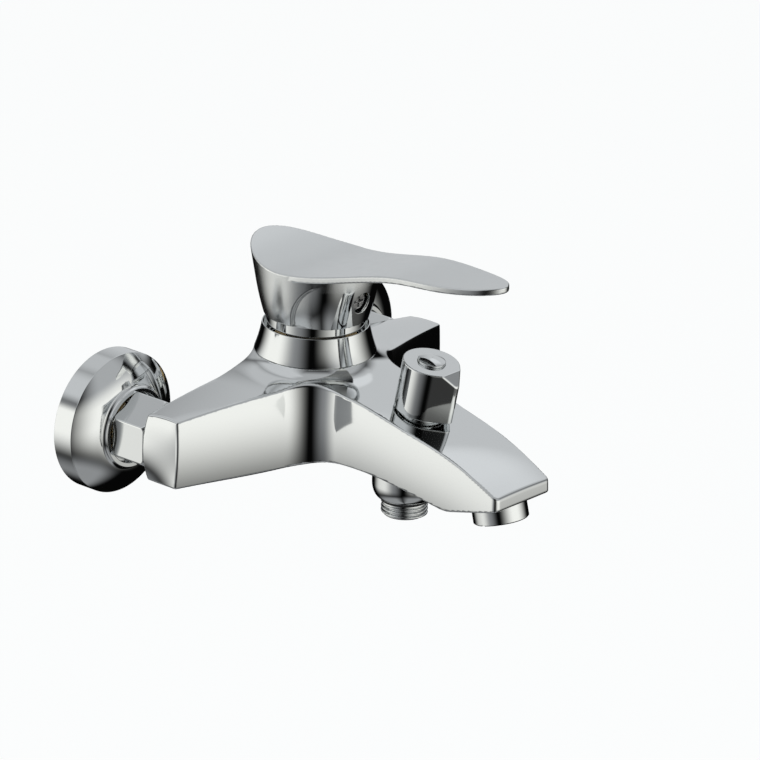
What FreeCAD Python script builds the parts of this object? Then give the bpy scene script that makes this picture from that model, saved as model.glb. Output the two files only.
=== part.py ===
"""Wall-mounted single-lever bath mixer with diverter, built as the separate pieces it is made of.

Millimetres. The origin lies on the wall midway between the two supplies. X runs to the right for
someone facing the mixer, -Y runs out from the wall, and Z is up. "Depth" means distance out from
the wall, so a point at depth d has y = -d.
"""
import FreeCAD, Part
import math
import os

V = FreeCAD.Vector

# Clearances
seat_gap = 0.05
running_gap = 0.07
disc_film = 0.02
free_gap = 0.35

# Supplies and connections
supply_pitch = 150.0
half_inch_r = 10.48
three_quarter_r = 13.22
union_offset = 5.0
union_wall_reach = 16.0
union_wall_end = 1.0
union_thread_start = 7.0
union_shoulder = 1.6
union_wall_bore_r = 7.0
union_bore_r = 9.0
washer_thick = 3.0
washer_inset = 0.7
washer_bore_r = 8.0
nipple_flange_inset = 0.5
nipple_flange_thick = 3.6
nipple_shank_r = 9.6
nipple_engage = 11.0
nipple_bore_r = 6.5
nut_flats = 30.0
nut_length = 20.1
nut_chamfer = 0.9
nut_lip_thick = 2.6
nut_front_gap = 0.3

# Wall escutcheons
escutcheon_r = 32.2
escutcheon_rim = 10.2
escutcheon_depth = 19.4
escutcheon_wall = 1.3
escutcheon_neck_wall = 0.8
escutcheon_nut_gap = 0.28
escutcheon_dome_in = 3.8
escutcheon_dome_rise = 3.6
escutcheon_flare_out = 2.6
escutcheon_flare_drop = 3.4
escutcheon_web_gap = 0.6
escutcheon_web_thick = 5.0
escutcheon_web_wall = 3.0

# Cast body: the arms
arm_back_depth = 38.0
arm_thick = 17.4
arm_end_beyond = 13.0
arm_end_top = 16.7
arm_end_slope = 0.16
arm_mid_x = 60.0
arm_mid_top = 20.3
arm_root_x = 30.0
arm_root_drop = 0.8
arm_bottom = -16.0
arm_end_round = 2.5
inlet_boss_r = 17.2
inlet_boss_taper = 4.0
inlet_boss_overrun = 0.6

# Cast body: the spout, whose lines are (share of its length from the shoulder, height)
shoulder_top = 23.4
shoulder_run = 21.0
shoulder_round = 21.0
spout_root_half = 22.2
spout_root_rise = 4.4
spout_tip_half = 17.4
spout_length = 103.6
spout_tip_bottom = -11.2
spout_top_line = ((-0.019, 23.1), (0.228, 20.3), (0.496, 13.7), (0.73, 7.6), (0.889, 1.0), (1.0, -4.8))
spout_under_line = ((0.73, -18.3), (0.498, -14.4), (0.228, -11.9), (0.058, -13.5), (-0.058, -16.0))
tip_round = 4.0
crease_round = 1.6

# Cast body: the tower and its waterways
tower_from_back = 20.0
tower_back_r = 27.8
tower_back_round = 8.0
neck_r = 27.4
neck_top = 28.2
neck_flare = 8.6
collar_wall = 2.2
collar_top = 33.4
well_floor = 8.0
well_gap = 0.3
nut_thread_depth = 1.0
waterway_r = 4.6
inlet_gallery_height = -1.5
outlet_gallery_height = -4.5

# Cartridge
cartridge_r = 17.5
housing_wall = 2.9
housing_roof = 3.0
base_flange = 1.5
base_plug = 2.5
port_r = 3.0
inlet_port_side = 6.0
inlet_port_back = 4.5
outlet_port_front = 6.5
seal_width = 1.3
seal_thick = 1.3
seal_stand = 0.5
disc_thick = 3.0
moving_disc_r = 9.8
mixing_recess_r = 7.4
mixing_recess = 1.4
carrier_thick = 4.2
collar_r = 10.7
collar_flange = 2.6
collar_above_pivot = 5.0
housing_neck_wall = 2.13
housing_neck_below_pivot = 6.0
pivot_pin_r = 1.5
pivot_pin_inset = 0.5
lower_arm = 18.0
spindle_arm_r = 2.2
ball_r = 3.0
socket_wall = 1.8
socket_depth = 4.0
spindle_half = 4.0
spindle_top = 18.3
spindle_foot = 5.0
retaining_nut_height = 5.4
spanner_slot = 3.0
spanner_slot_depth = 2.0

# Shroud over the cartridge
shroud_top = 41.0
shroud_base_gap = 0.2
shroud_base_over = 0.4
shroud_base_edge = 0.9
shroud_waist_over = 0.7
shroud_waist_height = 7.6
shroud_wall = 0.8
shroud_edge = 0.45
shroud_dip_gap = 0.35
shroud_land = 4.6
shroud_ring_r = 0.45
shroud_groove = 2.2

# Lever handle: reaches are taken from the tower's axis, heights from the ring's lower edge
lever_lift = 17.0
pivot_above_ring = 5.7
handle_gap = 0.3
handle_ring_r = 23.4
handle_ring = 4.4
handle_wall = 1.6
cavity_height = 22.7
cavity_cone_height = 4.0
cavity_cone_width = 8.0
# Hood sections: height, then how far it stands out from the ring at its sides, back and front
hood_sections = ((8.7, 1.0, 1.5, 1.1), (15.7, 1.7, 3.7, 2.9), (23.7, 2.0, 6.0, 4.2),
                 (30.7, 2.0, 8.0, 4.7), (38.7, 2.0, 10.6, 4.9))
rim_flare = 2.3
rim_back_flare = 9.9
rim_back_height = 38.2
rim_nape = 14.7
rim_nape_height = 30.9
rim_side_height = 29.1
rim_widest = 3.0
# Rim of the plate: distance in from its back or reach, then how much narrower than the widest
rim_back_curve = ((4.8, 12.5), (14.7, 4.2), (24.8, 0.9))
rim_front_curve = ((18.0, 1.8), (35.6, 4.7))
lever_rise = 35.6
lever_rise_height = 35.1
lever_neck = 60.0
lever_neck_half = 17.8
lever_neck_height = 40.3
lever_pad_height = 41.7
lever_reach = 109.0
lever_tip_height = 45.1
lever_thick = 3.0
# Paddle: distance back from the tip, then half width
lever_pad_curve = ((27.0, 15.4), (13.0, 11.6), (3.5, 6.2))
lever_overrun = 6.0
column_inset = 1.3
arch_foot = 4.7
arch_bow_reach = 9.5
arch_bow_height = 15.5
arch_end_reach = 32.0
arch_end_height = 27.8
socket_boss_r = 9.4
socket_boss_low = 7.6
set_screw_height = 13.4
set_screw_r = 2.5
set_screw_head_r = 3.9
set_screw_hole_r = 4.6
set_screw_hole_wall = 1.2
set_screw_head_at = 19.0
set_screw_head = 3.4
set_screw_key_r = 1.4
set_screw_key = 2.4

# Diverter
diverter_share = 0.4334
diverter_foot_rise = 1.7
diverter_lean = 11.0
bonnet_thread_r = 8.6
bonnet_depth = 13.0
bonnet_flange_r = 10.4
bonnet_flange = 2.6
bonnet_roof = 2.4
bonnet_neck_r = 6.2
diverter_chamber = 4.0
diverter_stem_r = 3.0
diverter_disc_r = 7.4
diverter_disc = 2.4
diverter_port_r = 2.4
diverter_port_at = 4.1
diverter_seal = 1.2
diverter_seal_width = 1.0
knob_r = 12.8
knob_low = 1.7
knob_hollow_top = 5.6
knob_skirt_wall = 1.8
knob_top = 25.0
knob_round = 0.8
knob_pointer_reach = 16.8
knob_pointer_half = 2.5
knob_pointer_drop = 4.0
cap_r = 6.25
cap_seat = 2.2
cap_rim = 1.0
cap_dome = 1.4
knob_screw_r = 1.9
knob_screw_length = 7.0
knob_screw_end_gap = 1.0
knob_screw_head_r = 3.4
knob_screw_head = 2.4
knob_screw_cap_gap = 0.6
knob_screw_key_r = 1.3
knob_screw_key = 1.4

# Shower outlet and aerator
outlet_share = 0.3514
outlet_boss_r = 14.7
outlet_boss_height = 8.1
outlet_boss_taper = 7.4
outlet_thread = 7.9
outlet_thread_chamfer = 1.0
outlet_shank_r = 8.4
outlet_shank = 9.0
outlet_bore_r = 6.0
outlet_seal_thick = 1.2
outlet_seal_inset = 0.3
aerator_back = 13.0
aerator_r = 12.4
aerator_drop = 8.0
aerator_edge = 0.5
aerator_thread_depth = 0.8
aerator_thread = 5.6
aerator_wall = 1.3
aerator_lip = 1.0
aerator_washer = 1.6
aerator_washer_width = 3.0
aerator_slot = 1.4
aerator_slot_depth = 0.7
aerator_grid = 3.0
aerator_row_radii = (3.0, 6.4)
aerator_hole_pitch = 3.3
aerator_hole_r = 0.9
aerator_cup_wall = 1.2
screen_thick = 0.6

# Worked out: connections, back from the body's arm to the wall
supply_x = supply_pitch / 2
arm_reach = supply_x + arm_end_beyond
arm_front_depth = arm_back_depth + arm_thick
tower_depth = arm_back_depth + tower_from_back
nut_front_depth = arm_back_depth - nut_front_gap
nut_back_depth = nut_front_depth - nut_length
nipple_flange_front = nut_front_depth - nut_lip_thick
nipple_flange_back = nipple_flange_front - nipple_flange_thick
nipple_end_depth = arm_back_depth + nipple_engage
union_face_depth = nipple_flange_back - washer_thick
union_thread_r = three_quarter_r - seat_gap
escutcheon_bore_r = nut_flats / math.sqrt(3) + escutcheon_nut_gap
escutcheon_neck_r = escutcheon_bore_r + escutcheon_neck_wall
escutcheon_web_depth = nut_back_depth - escutcheon_web_gap

# Worked out: cartridge, up from the floor of its well
well_r = cartridge_r + well_gap
nut_thread_r = well_r + nut_thread_depth
collar_thread_r = nut_thread_r + collar_wall
housing_bore_r = cartridge_r - housing_wall
base_bottom = well_floor + seal_stand
base_top = base_bottom + base_flange + base_plug
fixed_disc_top = base_top + disc_thick
moving_disc_bottom = fixed_disc_top + disc_film
moving_disc_top = moving_disc_bottom + disc_thick
carrier_top = moving_disc_top + carrier_thick
collar_bottom = carrier_top + free_gap
collar_flange_top = collar_bottom + collar_flange
collar_flange_r = housing_bore_r - 2 * free_gap
housing_ceiling = collar_flange_top + free_gap
housing_neck_r = collar_r + running_gap + housing_neck_wall
cartridge_top = housing_ceiling + housing_roof
retaining_nut_bore_r = housing_neck_r + free_gap

# Worked out: lever and shroud
handle_bottom = shroud_top + handle_gap
pivot_height = handle_bottom + pivot_above_ring
rest_lean = lever_lift / 2
ball_height = pivot_height - lower_arm
socket_r = ball_r + free_gap
post_r = socket_r + socket_wall
disc_travel = 2 * lower_arm * math.sin(math.radians(rest_lean))
shroud_base = neck_top + shroud_base_gap
shroud_base_r = neck_r + shroud_base_over
shroud_rim_r = handle_ring_r + shroud_dip_gap + shroud_edge
shroud_waist_r = shroud_rim_r + shroud_waist_over
rim_half = handle_ring_r + rim_flare
rim_back = handle_ring_r + rim_back_flare

# Worked out: spout, diverter and outlets
shoulder_depth = arm_front_depth + shoulder_run
spout_reach = shoulder_depth + spout_length
diverter_depth = shoulder_depth + diverter_share * spout_length
diverter_foot = spout_top_line[2][1] + diverter_foot_rise
bonnet_roof_height = -bonnet_flange - bonnet_roof
bonnet_neck = knob_hollow_top - free_gap
knob_seat = knob_top - cap_seat - knob_screw_head - knob_screw_cap_gap
outlet_depth = shoulder_depth + outlet_share * spout_length
outlet_boss_low = spout_under_line[2][1] - outlet_boss_height
outlet_seat = outlet_boss_low - outlet_boss_taper
outlet_end = outlet_seat - outlet_thread
aerator_depth = spout_reach - aerator_back
heel_share, heel_height = spout_under_line[0]
aerator_rise = (spout_tip_bottom - heel_height) / (spout_length * (1 - heel_share))
aerator_height = spout_tip_bottom - aerator_back * aerator_rise
aerator_lean = -math.degrees(math.atan(aerator_rise))
aerator_thread_r = aerator_r - aerator_thread_depth
aerator_bore_r = aerator_thread_r - aerator_wall

BOTH_SIDES = (("hot", -1), ("cold", 1))
FAR = 400.0


def wire(points, place):
    """Closed wire: a point is an (a, b) corner, and ((a, b), (c, d)) is an arc through a-b to c-d."""
    edges = []
    at = points[0]
    for step in list(points[1:]) + [points[0]]:
        if isinstance(step[0], tuple):
            through, end = step
            edges.append(Part.Arc(place(*at), place(*through), place(*end)).toShape())
        else:
            end = step
            if end != at:
                edges.append(Part.makeLine(place(*at), place(*end)))
        at = end
    return Part.Wire(edges)


def turned(points):
    """Solid of revolution about Z from (radius, height) corners and arcs."""
    profile = Part.Face(wire(points, lambda r, z: V(r, 0, z)))
    return profile.revolve(V(0, 0, 0), V(0, 0, 1), 360)


def tube(outer_r, inner_r, low, high):
    """Plain ring or sleeve about Z."""
    return turned([(inner_r, low), (outer_r, low), (outer_r, high), (inner_r, high)])


def rod(radius, low, high):
    """Plain cylinder about Z."""
    return Part.makeCylinder(radius, high - low, V(0, 0, low))


def rod_forward(radius, start, end, height):
    """Plain cylinder at a height, lying along -Y between two reaches from the Z axis."""
    return Part.makeCylinder(radius, end - start, V(0, -start, height), V(0, -1, 0))


def rod_across(radius, half_length, height):
    """Plain cylinder at a height, lying along X."""
    return Part.makeCylinder(radius, 2 * half_length, V(-half_length, 0, height), V(1, 0, 0))


def ring(middle_r, section_r, height):
    """O-ring about Z."""
    return Part.makeTorus(middle_r, section_r, V(0, 0, height))


def slot(half_x, half_y, low, high):
    """Box about Z between two heights."""
    return Part.makeBox(2 * half_x, 2 * half_y, high - low, V(-half_x, -half_y, low))


def set_at(shape, depth, height, lean=0.0, side=0.0):
    """Stand a piece made about Z at a depth and height, leaning forward by an angle."""
    placed = shape.copy()
    placed.rotate(V(0, 0, 0), V(1, 0, 0), lean)
    placed.translate(V(side, -depth, height))
    return placed


def facing_out(shape, side):
    """Lay a piece made about Z along a supply's axis, so that its height becomes depth."""
    return set_at(shape, 0, 0, 90, side)


def swept_across(edges):
    """Solid swept along X from edges drawn at x = -FAR."""
    return Part.Face(Part.Wire(edges)).extrude(V(2 * FAR, 0, 0))


def from_side(depth, height):
    """Point of a side outline that is swept along X."""
    return V(-FAR, -depth, height)


def spline(points, place, level_end=False):
    """Smooth edge through a few points, which may run out level at its last one."""
    curve = Part.BSplineCurve()
    places = [place(*point) for point in points]
    if level_end:
        span = places[-1] - places[-2]
        curve.interpolate(Points=places, InitialTangent=places[1] - places[0],
                          FinalTangent=V(span.x, span.y, 0))
    else:
        curve.interpolate(places)
    return curve.toShape()


def edges_where(shape, test):
    """Edges whose middle point and box pass a test."""
    return [edge for edge in shape.Edges if test(edge.CenterOfMass, edge.BoundBox)]


def save(name, shape):
    """Write one sub-part, after checking that it is closed and valid."""
    solid = shape.removeSplitter()
    if not solid.isValid() or solid.Volume <= 0:
        raise ValueError(name + " is not a valid solid")
    solid.exportStep("parts/" + name + ".step")
    print("%-26s %9.1f mm3 %2d solid" % (name, solid.Volume, len(solid.Solids)))


# Connections to the wall

def eccentric_union():
    """S-union: G1/2 into the wall, G3/4 out of it on an axis set higher, joined by a skewed boss."""
    wall_end = rod(half_inch_r, -union_wall_reach, union_wall_end)
    wall_end.translate(V(0, -union_offset, 0))
    low_circle = Part.makeCircle(half_inch_r + union_shoulder, V(0, -union_offset, union_wall_end))
    high_circle = Part.makeCircle(union_thread_r, V(0, 0, union_thread_start))
    boss = Part.makeLoft([Part.Wire(low_circle), Part.Wire(high_circle)], True, True)
    mixer_end = rod(union_thread_r, union_thread_start, union_face_depth)
    bores_meet = (union_wall_end + union_thread_start) / 2
    wall_bore = rod(union_wall_bore_r, -union_wall_reach, bores_meet + 1)
    wall_bore.translate(V(0, -union_offset, 0))
    bore = rod(union_bore_r, bores_meet, union_face_depth)
    return wall_end.fuse([boss, mixer_end]).cut([wall_bore, bore])


def escutcheon():
    """Bell-shaped wall cover with a straight rim, a domed shoulder, a hollow neck and a threaded web."""
    inner_r = escutcheon_r - escutcheon_wall
    dome = (escutcheon_r - escutcheon_dome_in, escutcheon_rim + escutcheon_dome_rise)
    flare = (escutcheon_neck_r + escutcheon_flare_out, escutcheon_depth - escutcheon_flare_drop)
    flare_middle = (escutcheon_neck_r + 0.27 * escutcheon_flare_out,
                    escutcheon_depth - 0.65 * escutcheon_flare_drop)
    thread_r = three_quarter_r + seat_gap
    web_back = escutcheon_web_depth - escutcheon_web_thick
    return turned([
        (inner_r, 0), (escutcheon_r, 0), (escutcheon_r, escutcheon_rim),
        (dome, flare), (flare_middle, (escutcheon_neck_r, escutcheon_depth)),
        (escutcheon_bore_r, escutcheon_depth), (escutcheon_bore_r, escutcheon_web_depth),
        (thread_r, escutcheon_web_depth), (thread_r, web_back),
        (thread_r + escutcheon_web_wall, web_back),
        (flare[0] - 2 * escutcheon_wall, flare[1] - escutcheon_wall),
        ((dome[0] - escutcheon_wall, dome[1] - escutcheon_wall),
         (inner_r, escutcheon_rim - escutcheon_wall / 2)),
    ])


def union_nut():
    """Chromed hexagon nut, one corner up, that pulls the inlet nipple onto the union's face."""
    corner = nut_flats / math.sqrt(3)
    corners = [V(corner * math.sin(math.radians(60 * k)), corner * math.cos(math.radians(60 * k)),
                 nut_back_depth) for k in range(7)]
    bar = Part.Face(Part.makePolygon(corners)).extrude(V(0, 0, nut_length))
    chamfered = turned([
        (0, nut_back_depth), (corner - nut_chamfer, nut_back_depth),
        (corner, nut_back_depth + nut_chamfer), (corner, nut_front_depth - nut_chamfer),
        (corner - nut_chamfer, nut_front_depth), (0, nut_front_depth),
    ])
    thread = rod(three_quarter_r + seat_gap, nut_back_depth, nipple_flange_front)
    bore = rod(nipple_shank_r + seat_gap, nut_back_depth, nut_front_depth)
    return bar.common(chamfered).cut([thread, bore])


def inlet_nipple():
    """Flanged tail screwed into the body, with the nut captive behind its flange."""
    flange_r = three_quarter_r - nipple_flange_inset
    return turned([
        (nipple_bore_r, nipple_flange_back), (flange_r, nipple_flange_back),
        (flange_r, nipple_flange_front), (nipple_shank_r, nipple_flange_front),
        (nipple_shank_r, nipple_end_depth), (nipple_bore_r, nipple_end_depth),
    ])


def make_connections():
    """Both supplies, left and right, with the same pieces."""
    washer = tube(three_quarter_r - washer_inset, washer_bore_r, union_face_depth, nipple_flange_back)
    for side, sign in BOTH_SIDES:
        at = sign * supply_x
        save(side + "_eccentric_union", facing_out(eccentric_union(), at))
        save(side + "_escutcheon", facing_out(escutcheon(), at))
        save(side + "_union_nut", facing_out(union_nut(), at))
        save(side + "_inlet_nipple", facing_out(inlet_nipple(), at))
        save(side + "_inlet_washer", facing_out(washer, at))


# Cast body

def rounded_corner(before, at, after, radius):
    """Steps of an outline that round the corner between two others with a tangent arc."""
    back = (V(*before) - V(*at)).normalize()
    on = (V(*after) - V(*at)).normalize()
    half = back.getAngle(on) / 2
    start = V(*at) + back * (radius / math.tan(half))
    middle = V(*at) + (back + on).normalize() * (radius / math.sin(half) - radius)
    end = V(*at) + on * (radius / math.tan(half))
    return [(start.x, start.y), ((middle.x, middle.y), (end.x, end.y))]


def tower_back_steps():
    """Steps of the plan outline from the middle of the tower's round back to the arm's back."""
    reach_in = tower_from_back + tower_back_round
    side = math.sqrt((tower_back_r + tower_back_round) ** 2 - reach_in ** 2)
    turn = math.atan2(side, reach_in)

    def on_tower(angle):
        return (tower_back_r * math.sin(angle), tower_depth - tower_back_r * math.cos(angle))

    halfway = (side - tower_back_round * math.sin(turn / 2),
               arm_back_depth - tower_back_round + tower_back_round * math.cos(turn / 2))
    return [on_tower(0), (on_tower(turn / 2), on_tower(turn)), (halfway, (side, arm_back_depth))]


def plan_prism():
    """Plan outline of the body as a tall prism: two arms, the spout and the round back of the tower."""
    corners = [(tower_back_r, arm_back_depth), (arm_reach, arm_back_depth), (arm_reach, arm_front_depth),
               (spout_root_half, shoulder_depth), (spout_tip_half, spout_reach), (0, spout_reach)]
    steps = tower_back_steps()
    for k, radius in enumerate((arm_end_round, arm_end_round, shoulder_round, tip_round)):
        steps += rounded_corner(*corners[k:k + 3], radius)
    steps.append(corners[-1])
    half = Part.Face(wire(steps, lambda x, depth: V(x, -depth, -FAR))).extrude(V(0, 0, 2 * FAR))
    return half.fuse(half.mirror(V(0, 0, 0), V(1, 0, 0))).removeSplitter()


def side_prism():
    """Side outline of the body, swept across: falling spout top, arched underside and sloped tip."""
    top, under = ([(shoulder_depth + share * spout_length, height) for share, height in line]
                  for line in (spout_top_line, spout_under_line))
    behind_arms = arm_back_depth / 2
    tip = [top[-1], (spout_reach, spout_tip_bottom), under[0]]
    root = [under[-1], (behind_arms, under[-1][1]), (behind_arms, top[0][1] + spout_root_rise), top[0]]
    edges = [spline(top, from_side), spline(under, from_side, level_end=True)]
    for chain in (tip, root):
        edges += [Part.makeLine(from_side(*a), from_side(*b)) for a, b in zip(chain, chain[1:])]
    return swept_across(Part.sortEdges(edges)[0])


def front_prism():
    """Front outline of the body: the arms' tops rise in a soft arch to the tower."""
    def place(x, height):
        return V(x, 0, height)
    beyond = 10.0
    reach = arm_reach + beyond
    end_top = arm_end_top - beyond * arm_end_slope
    low = heel_height - beyond
    right = [(arm_root_x, shoulder_top - arm_root_drop), (arm_mid_x, arm_mid_top), (reach, end_top)]
    top = [(-x, height) for x, height in reversed(right)] + [(0.0, shoulder_top)] + right
    edges = [
        spline(top, place),
        Part.makeLine(place(reach, end_top), place(reach, low)),
        Part.makeLine(place(reach, low), place(-reach, low)),
        Part.makeLine(place(-reach, low), place(-reach, end_top)),
    ]
    return Part.Face(Part.Wire(edges)).extrude(V(0, -FAR, 0))


def is_crease(centre, box):
    """True for an edge that runs round the body's outline, above or below."""
    level = box.XLength + box.YLength > 1.5
    inside = abs(centre.x) < 1 and -spout_reach + 1 < centre.y < -arm_back_depth
    return level and not inside


def tower_neck(plan):
    """Neck under the shroud, flaring out into the body's top, with the collar that carries the shroud."""
    middle = (neck_r + 0.28 * neck_flare, neck_top - 0.70 * neck_flare)
    flare = turned([
        (0, arm_bottom + 2 * crease_round), (neck_r - 2 * crease_round, arm_bottom + 2 * crease_round),
        (neck_r - 2 * crease_round, well_floor), (neck_r + neck_flare, neck_top + 1.3 - neck_flare),
        (middle, (neck_r, neck_top)), (0, neck_top),
    ])
    collar = rod(collar_thread_r, neck_top - neck_flare / 2, collar_top)
    return [set_at(flare, tower_depth, 0).common(plan), set_at(collar, tower_depth, 0)]


def inlet_boss():
    """Round boss at the end of an arm, wider at the back, where the inlet nipple screws in."""
    front = arm_front_depth + inlet_boss_overrun
    return turned([
        (0, arm_back_depth), (inlet_boss_r, arm_back_depth), (inlet_boss_r - inlet_boss_taper, front),
        (0, front),
    ])


def shower_boss():
    """Round boss under the spout that tapers in to the shower hose's thread."""
    bow = (0.21 * half_inch_r + 0.79 * outlet_boss_r, outlet_boss_low - 0.54 * outlet_boss_taper)
    inside = spout_under_line[2][1] + outlet_boss_height / 2
    return turned([
        (0, outlet_seat), (half_inch_r, outlet_seat), (bow, (outlet_boss_r, outlet_boss_low)),
        (outlet_boss_r, inside), (0, inside),
    ])


def body_blank():
    """Outside of the casting before any bore is cut."""
    plan = plan_prism()
    front = front_prism()
    core = plan.common(side_prism()).common(front).removeSplitter()
    core = core.makeFillet(crease_round, edges_where(core, is_crease))
    bosses = [facing_out(inlet_boss(), sign * supply_x).common(front) for _, sign in BOTH_SIDES]
    bosses.append(set_at(shower_boss(), outlet_depth, 0))
    return core.fuse(tower_neck(plan) + bosses).removeSplitter()


def waterway(start, end, radius):
    """Drilled passage between two points given as (side, depth, height)."""
    a = V(start[0], -start[1], start[2])
    b = V(end[0], -end[1], end[2])
    return Part.makeCylinder(radius, (b - a).Length, a, b - a)


def inlet_cuts():
    """Nipple bores and the passages from them to the floor of the cartridge's well."""
    cuts = []
    for _, sign in BOTH_SIDES:
        bore = rod(nipple_shank_r + seat_gap, nut_front_depth, nipple_end_depth)
        port = (sign * inlet_port_side, tower_depth - inlet_port_back)
        gallery = (port[0], port[1], inlet_gallery_height)
        start = (sign * supply_x, nipple_end_depth - waterway_r, 0)
        cuts.append(facing_out(bore, sign * supply_x))
        cuts.append(waterway(start, gallery, waterway_r))
        cuts.append(waterway(gallery, (port[0], port[1], well_floor + 1), port_r))
    return cuts


def outlet_cuts():
    """Passage to the diverter, its seat, and the ways on to the shower outlet and the aerator."""
    def on_spout(shape):
        return set_at(shape, diverter_depth, diverter_foot, diverter_lean)

    port = tower_depth + outlet_port_front
    past_diverter = (0, diverter_depth + bonnet_neck_r / 2, inlet_gallery_height * 2)
    over_aerator = (0, aerator_depth, aerator_height + aerator_thread + aerator_washer)
    outlet_bore_top = diverter_foot - bonnet_depth - diverter_chamber
    return [
        waterway((0, port, outlet_gallery_height), (0, port, well_floor + 1), port_r),
        waterway((0, port, outlet_gallery_height),
                 (0, diverter_depth - bonnet_neck_r, outlet_gallery_height), waterway_r),
        on_spout(rod(bonnet_thread_r + seat_gap, -bonnet_depth - diverter_seal, FAR)),
        on_spout(rod(bonnet_flange_r + free_gap, 0, FAR)),
        on_spout(rod(bonnet_thread_r - diverter_seal_width, -bonnet_depth - diverter_chamber, 0)),
        waterway(past_diverter, over_aerator, waterway_r),
        set_at(rod(outlet_shank_r + seat_gap, outlet_seat - 1, outlet_seat + outlet_shank), outlet_depth, 0),
        set_at(rod(outlet_bore_r, outlet_seat, outlet_bore_top), outlet_depth, 0),
        set_at(rod(aerator_thread_r + seat_gap, -aerator_drop, aerator_thread + aerator_washer),
               aerator_depth, aerator_height, aerator_lean),
    ]


def mixer_body():
    """Cast brass body with its cartridge well, waterways, diverter seat and outlet bores."""
    well = [set_at(rod(well_r, well_floor, FAR), tower_depth, 0),
            set_at(rod(nut_thread_r, cartridge_top, FAR), tower_depth, 0)]
    return body_blank().cut(well + inlet_cuts() + outlet_cuts())


# Cartridge

def ports(low, high, radius):
    """Two inlet ports and one outlet port about the tower axis."""
    drills = []
    for x, y in ((inlet_port_side, inlet_port_back), (-inlet_port_side, inlet_port_back),
                 (0, -outlet_port_front)):
        drill = rod(radius, low, high)
        drill.translate(V(x, y, 0))
        drills.append(drill)
    return drills


def cartridge_base():
    """Plate that carries the fixed disc and the seals of the three ports."""
    plug_r = housing_bore_r - seat_gap
    base = turned([
        (0, base_bottom), (cartridge_r, base_bottom), (cartridge_r, base_bottom + base_flange),
        (plug_r, base_bottom + base_flange), (plug_r, base_top), (0, base_top),
    ])
    grooves = ports(base_bottom, well_floor + seal_thick, port_r + seal_width)
    return base.cut(ports(base_bottom, base_top, port_r)).cut(grooves)


def base_seals():
    """Rubber rings that seal each port against the floor of the well."""
    outer = ports(well_floor, well_floor + seal_thick, port_r + seal_width - seat_gap)
    inner = ports(well_floor, well_floor + seal_thick, port_r)
    return Part.Compound([whole.cut(hole) for whole, hole in zip(outer, inner)])


def cartridge_housing():
    """Plastic drum with a roof and a neck in which the collar turns."""
    bottom = base_bottom + base_flange
    neck_end = pivot_height - housing_neck_below_pivot
    return turned([
        (housing_bore_r, bottom), (cartridge_r, bottom), (cartridge_r, cartridge_top),
        (housing_neck_r, cartridge_top), (housing_neck_r, neck_end),
        (collar_r + running_gap, neck_end), (collar_r + running_gap, housing_ceiling),
        (housing_bore_r, housing_ceiling),
    ])


def fixed_disc():
    """Lapped disc with the three ports, held in the base."""
    disc = rod(housing_bore_r - free_gap, base_top, fixed_disc_top)
    return disc.cut(ports(base_top, fixed_disc_top, port_r))


def moving_disc():
    """Lapped disc with the mixing recess in its underside, standing half its travel to the back."""
    disc = rod(moving_disc_r, moving_disc_bottom, moving_disc_top)
    recess = rod(mixing_recess_r, moving_disc_bottom, moving_disc_bottom + mixing_recess)
    return set_at(disc.cut(recess), -disc_travel / 2, 0)


def disc_carrier():
    """Carrier of the moving disc, with the socket that the spindle's ball drives."""
    plate = rod(moving_disc_r, moving_disc_top, carrier_top)
    post = rod(post_r, moving_disc_top, ball_height + ball_r / 2)
    socket = rod(socket_r, ball_height - socket_depth, ball_height + socket_depth)
    return set_at(plate.fuse(post).cut(socket), -disc_travel / 2, 0)


def rotating_collar():
    """Collar that turns with the lever: a flange under the roof, a slot for the spindle, a pin hole."""
    top = pivot_height + collar_above_pivot
    collar = turned([
        (0, collar_bottom), (collar_flange_r, collar_bottom), (collar_flange_r, collar_flange_top),
        (collar_r, collar_flange_top), (collar_r, top), (0, top),
    ])
    post_side = post_r + free_gap
    spindle_side = spindle_half + free_gap
    spindle_swing = spindle_half + (spindle_foot + collar_above_pivot) * math.sin(math.radians(rest_lean))
    post_slot = slot(post_side, disc_travel / 2 + post_side, collar_bottom,
                     ball_height + ball_r / 2 + pivot_pin_r + socket_depth)
    spindle_slot = slot(spindle_side, spindle_swing + free_gap, collar_bottom, top)
    pin_hole = rod_across(pivot_pin_r + seat_gap, collar_r, pivot_height)
    return collar.cut([post_slot, spindle_slot, pin_hole])


def lever_spindle():
    """Square spindle on the pivot pin, with a ball at its lower end, made upright about the pivot."""
    square = slot(spindle_half, spindle_half, -spindle_foot, spindle_top)
    arm = rod(spindle_arm_r, -lower_arm, 0)
    ball = Part.makeSphere(ball_r, V(0, 0, -lower_arm))
    return square.fuse([arm, ball]).cut(rod_across(pivot_pin_r + running_gap, collar_r, 0))


def retaining_nut():
    """Threaded ring that clamps the cartridge in its well, slotted for a pin spanner."""
    top = cartridge_top + retaining_nut_height
    nut = tube(nut_thread_r - seat_gap, retaining_nut_bore_r, cartridge_top, top)
    half = spanner_slot / 2
    low = top - spanner_slot_depth
    return nut.cut([slot(nut_thread_r, half, low, top), slot(half, nut_thread_r, low, top)])


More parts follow.
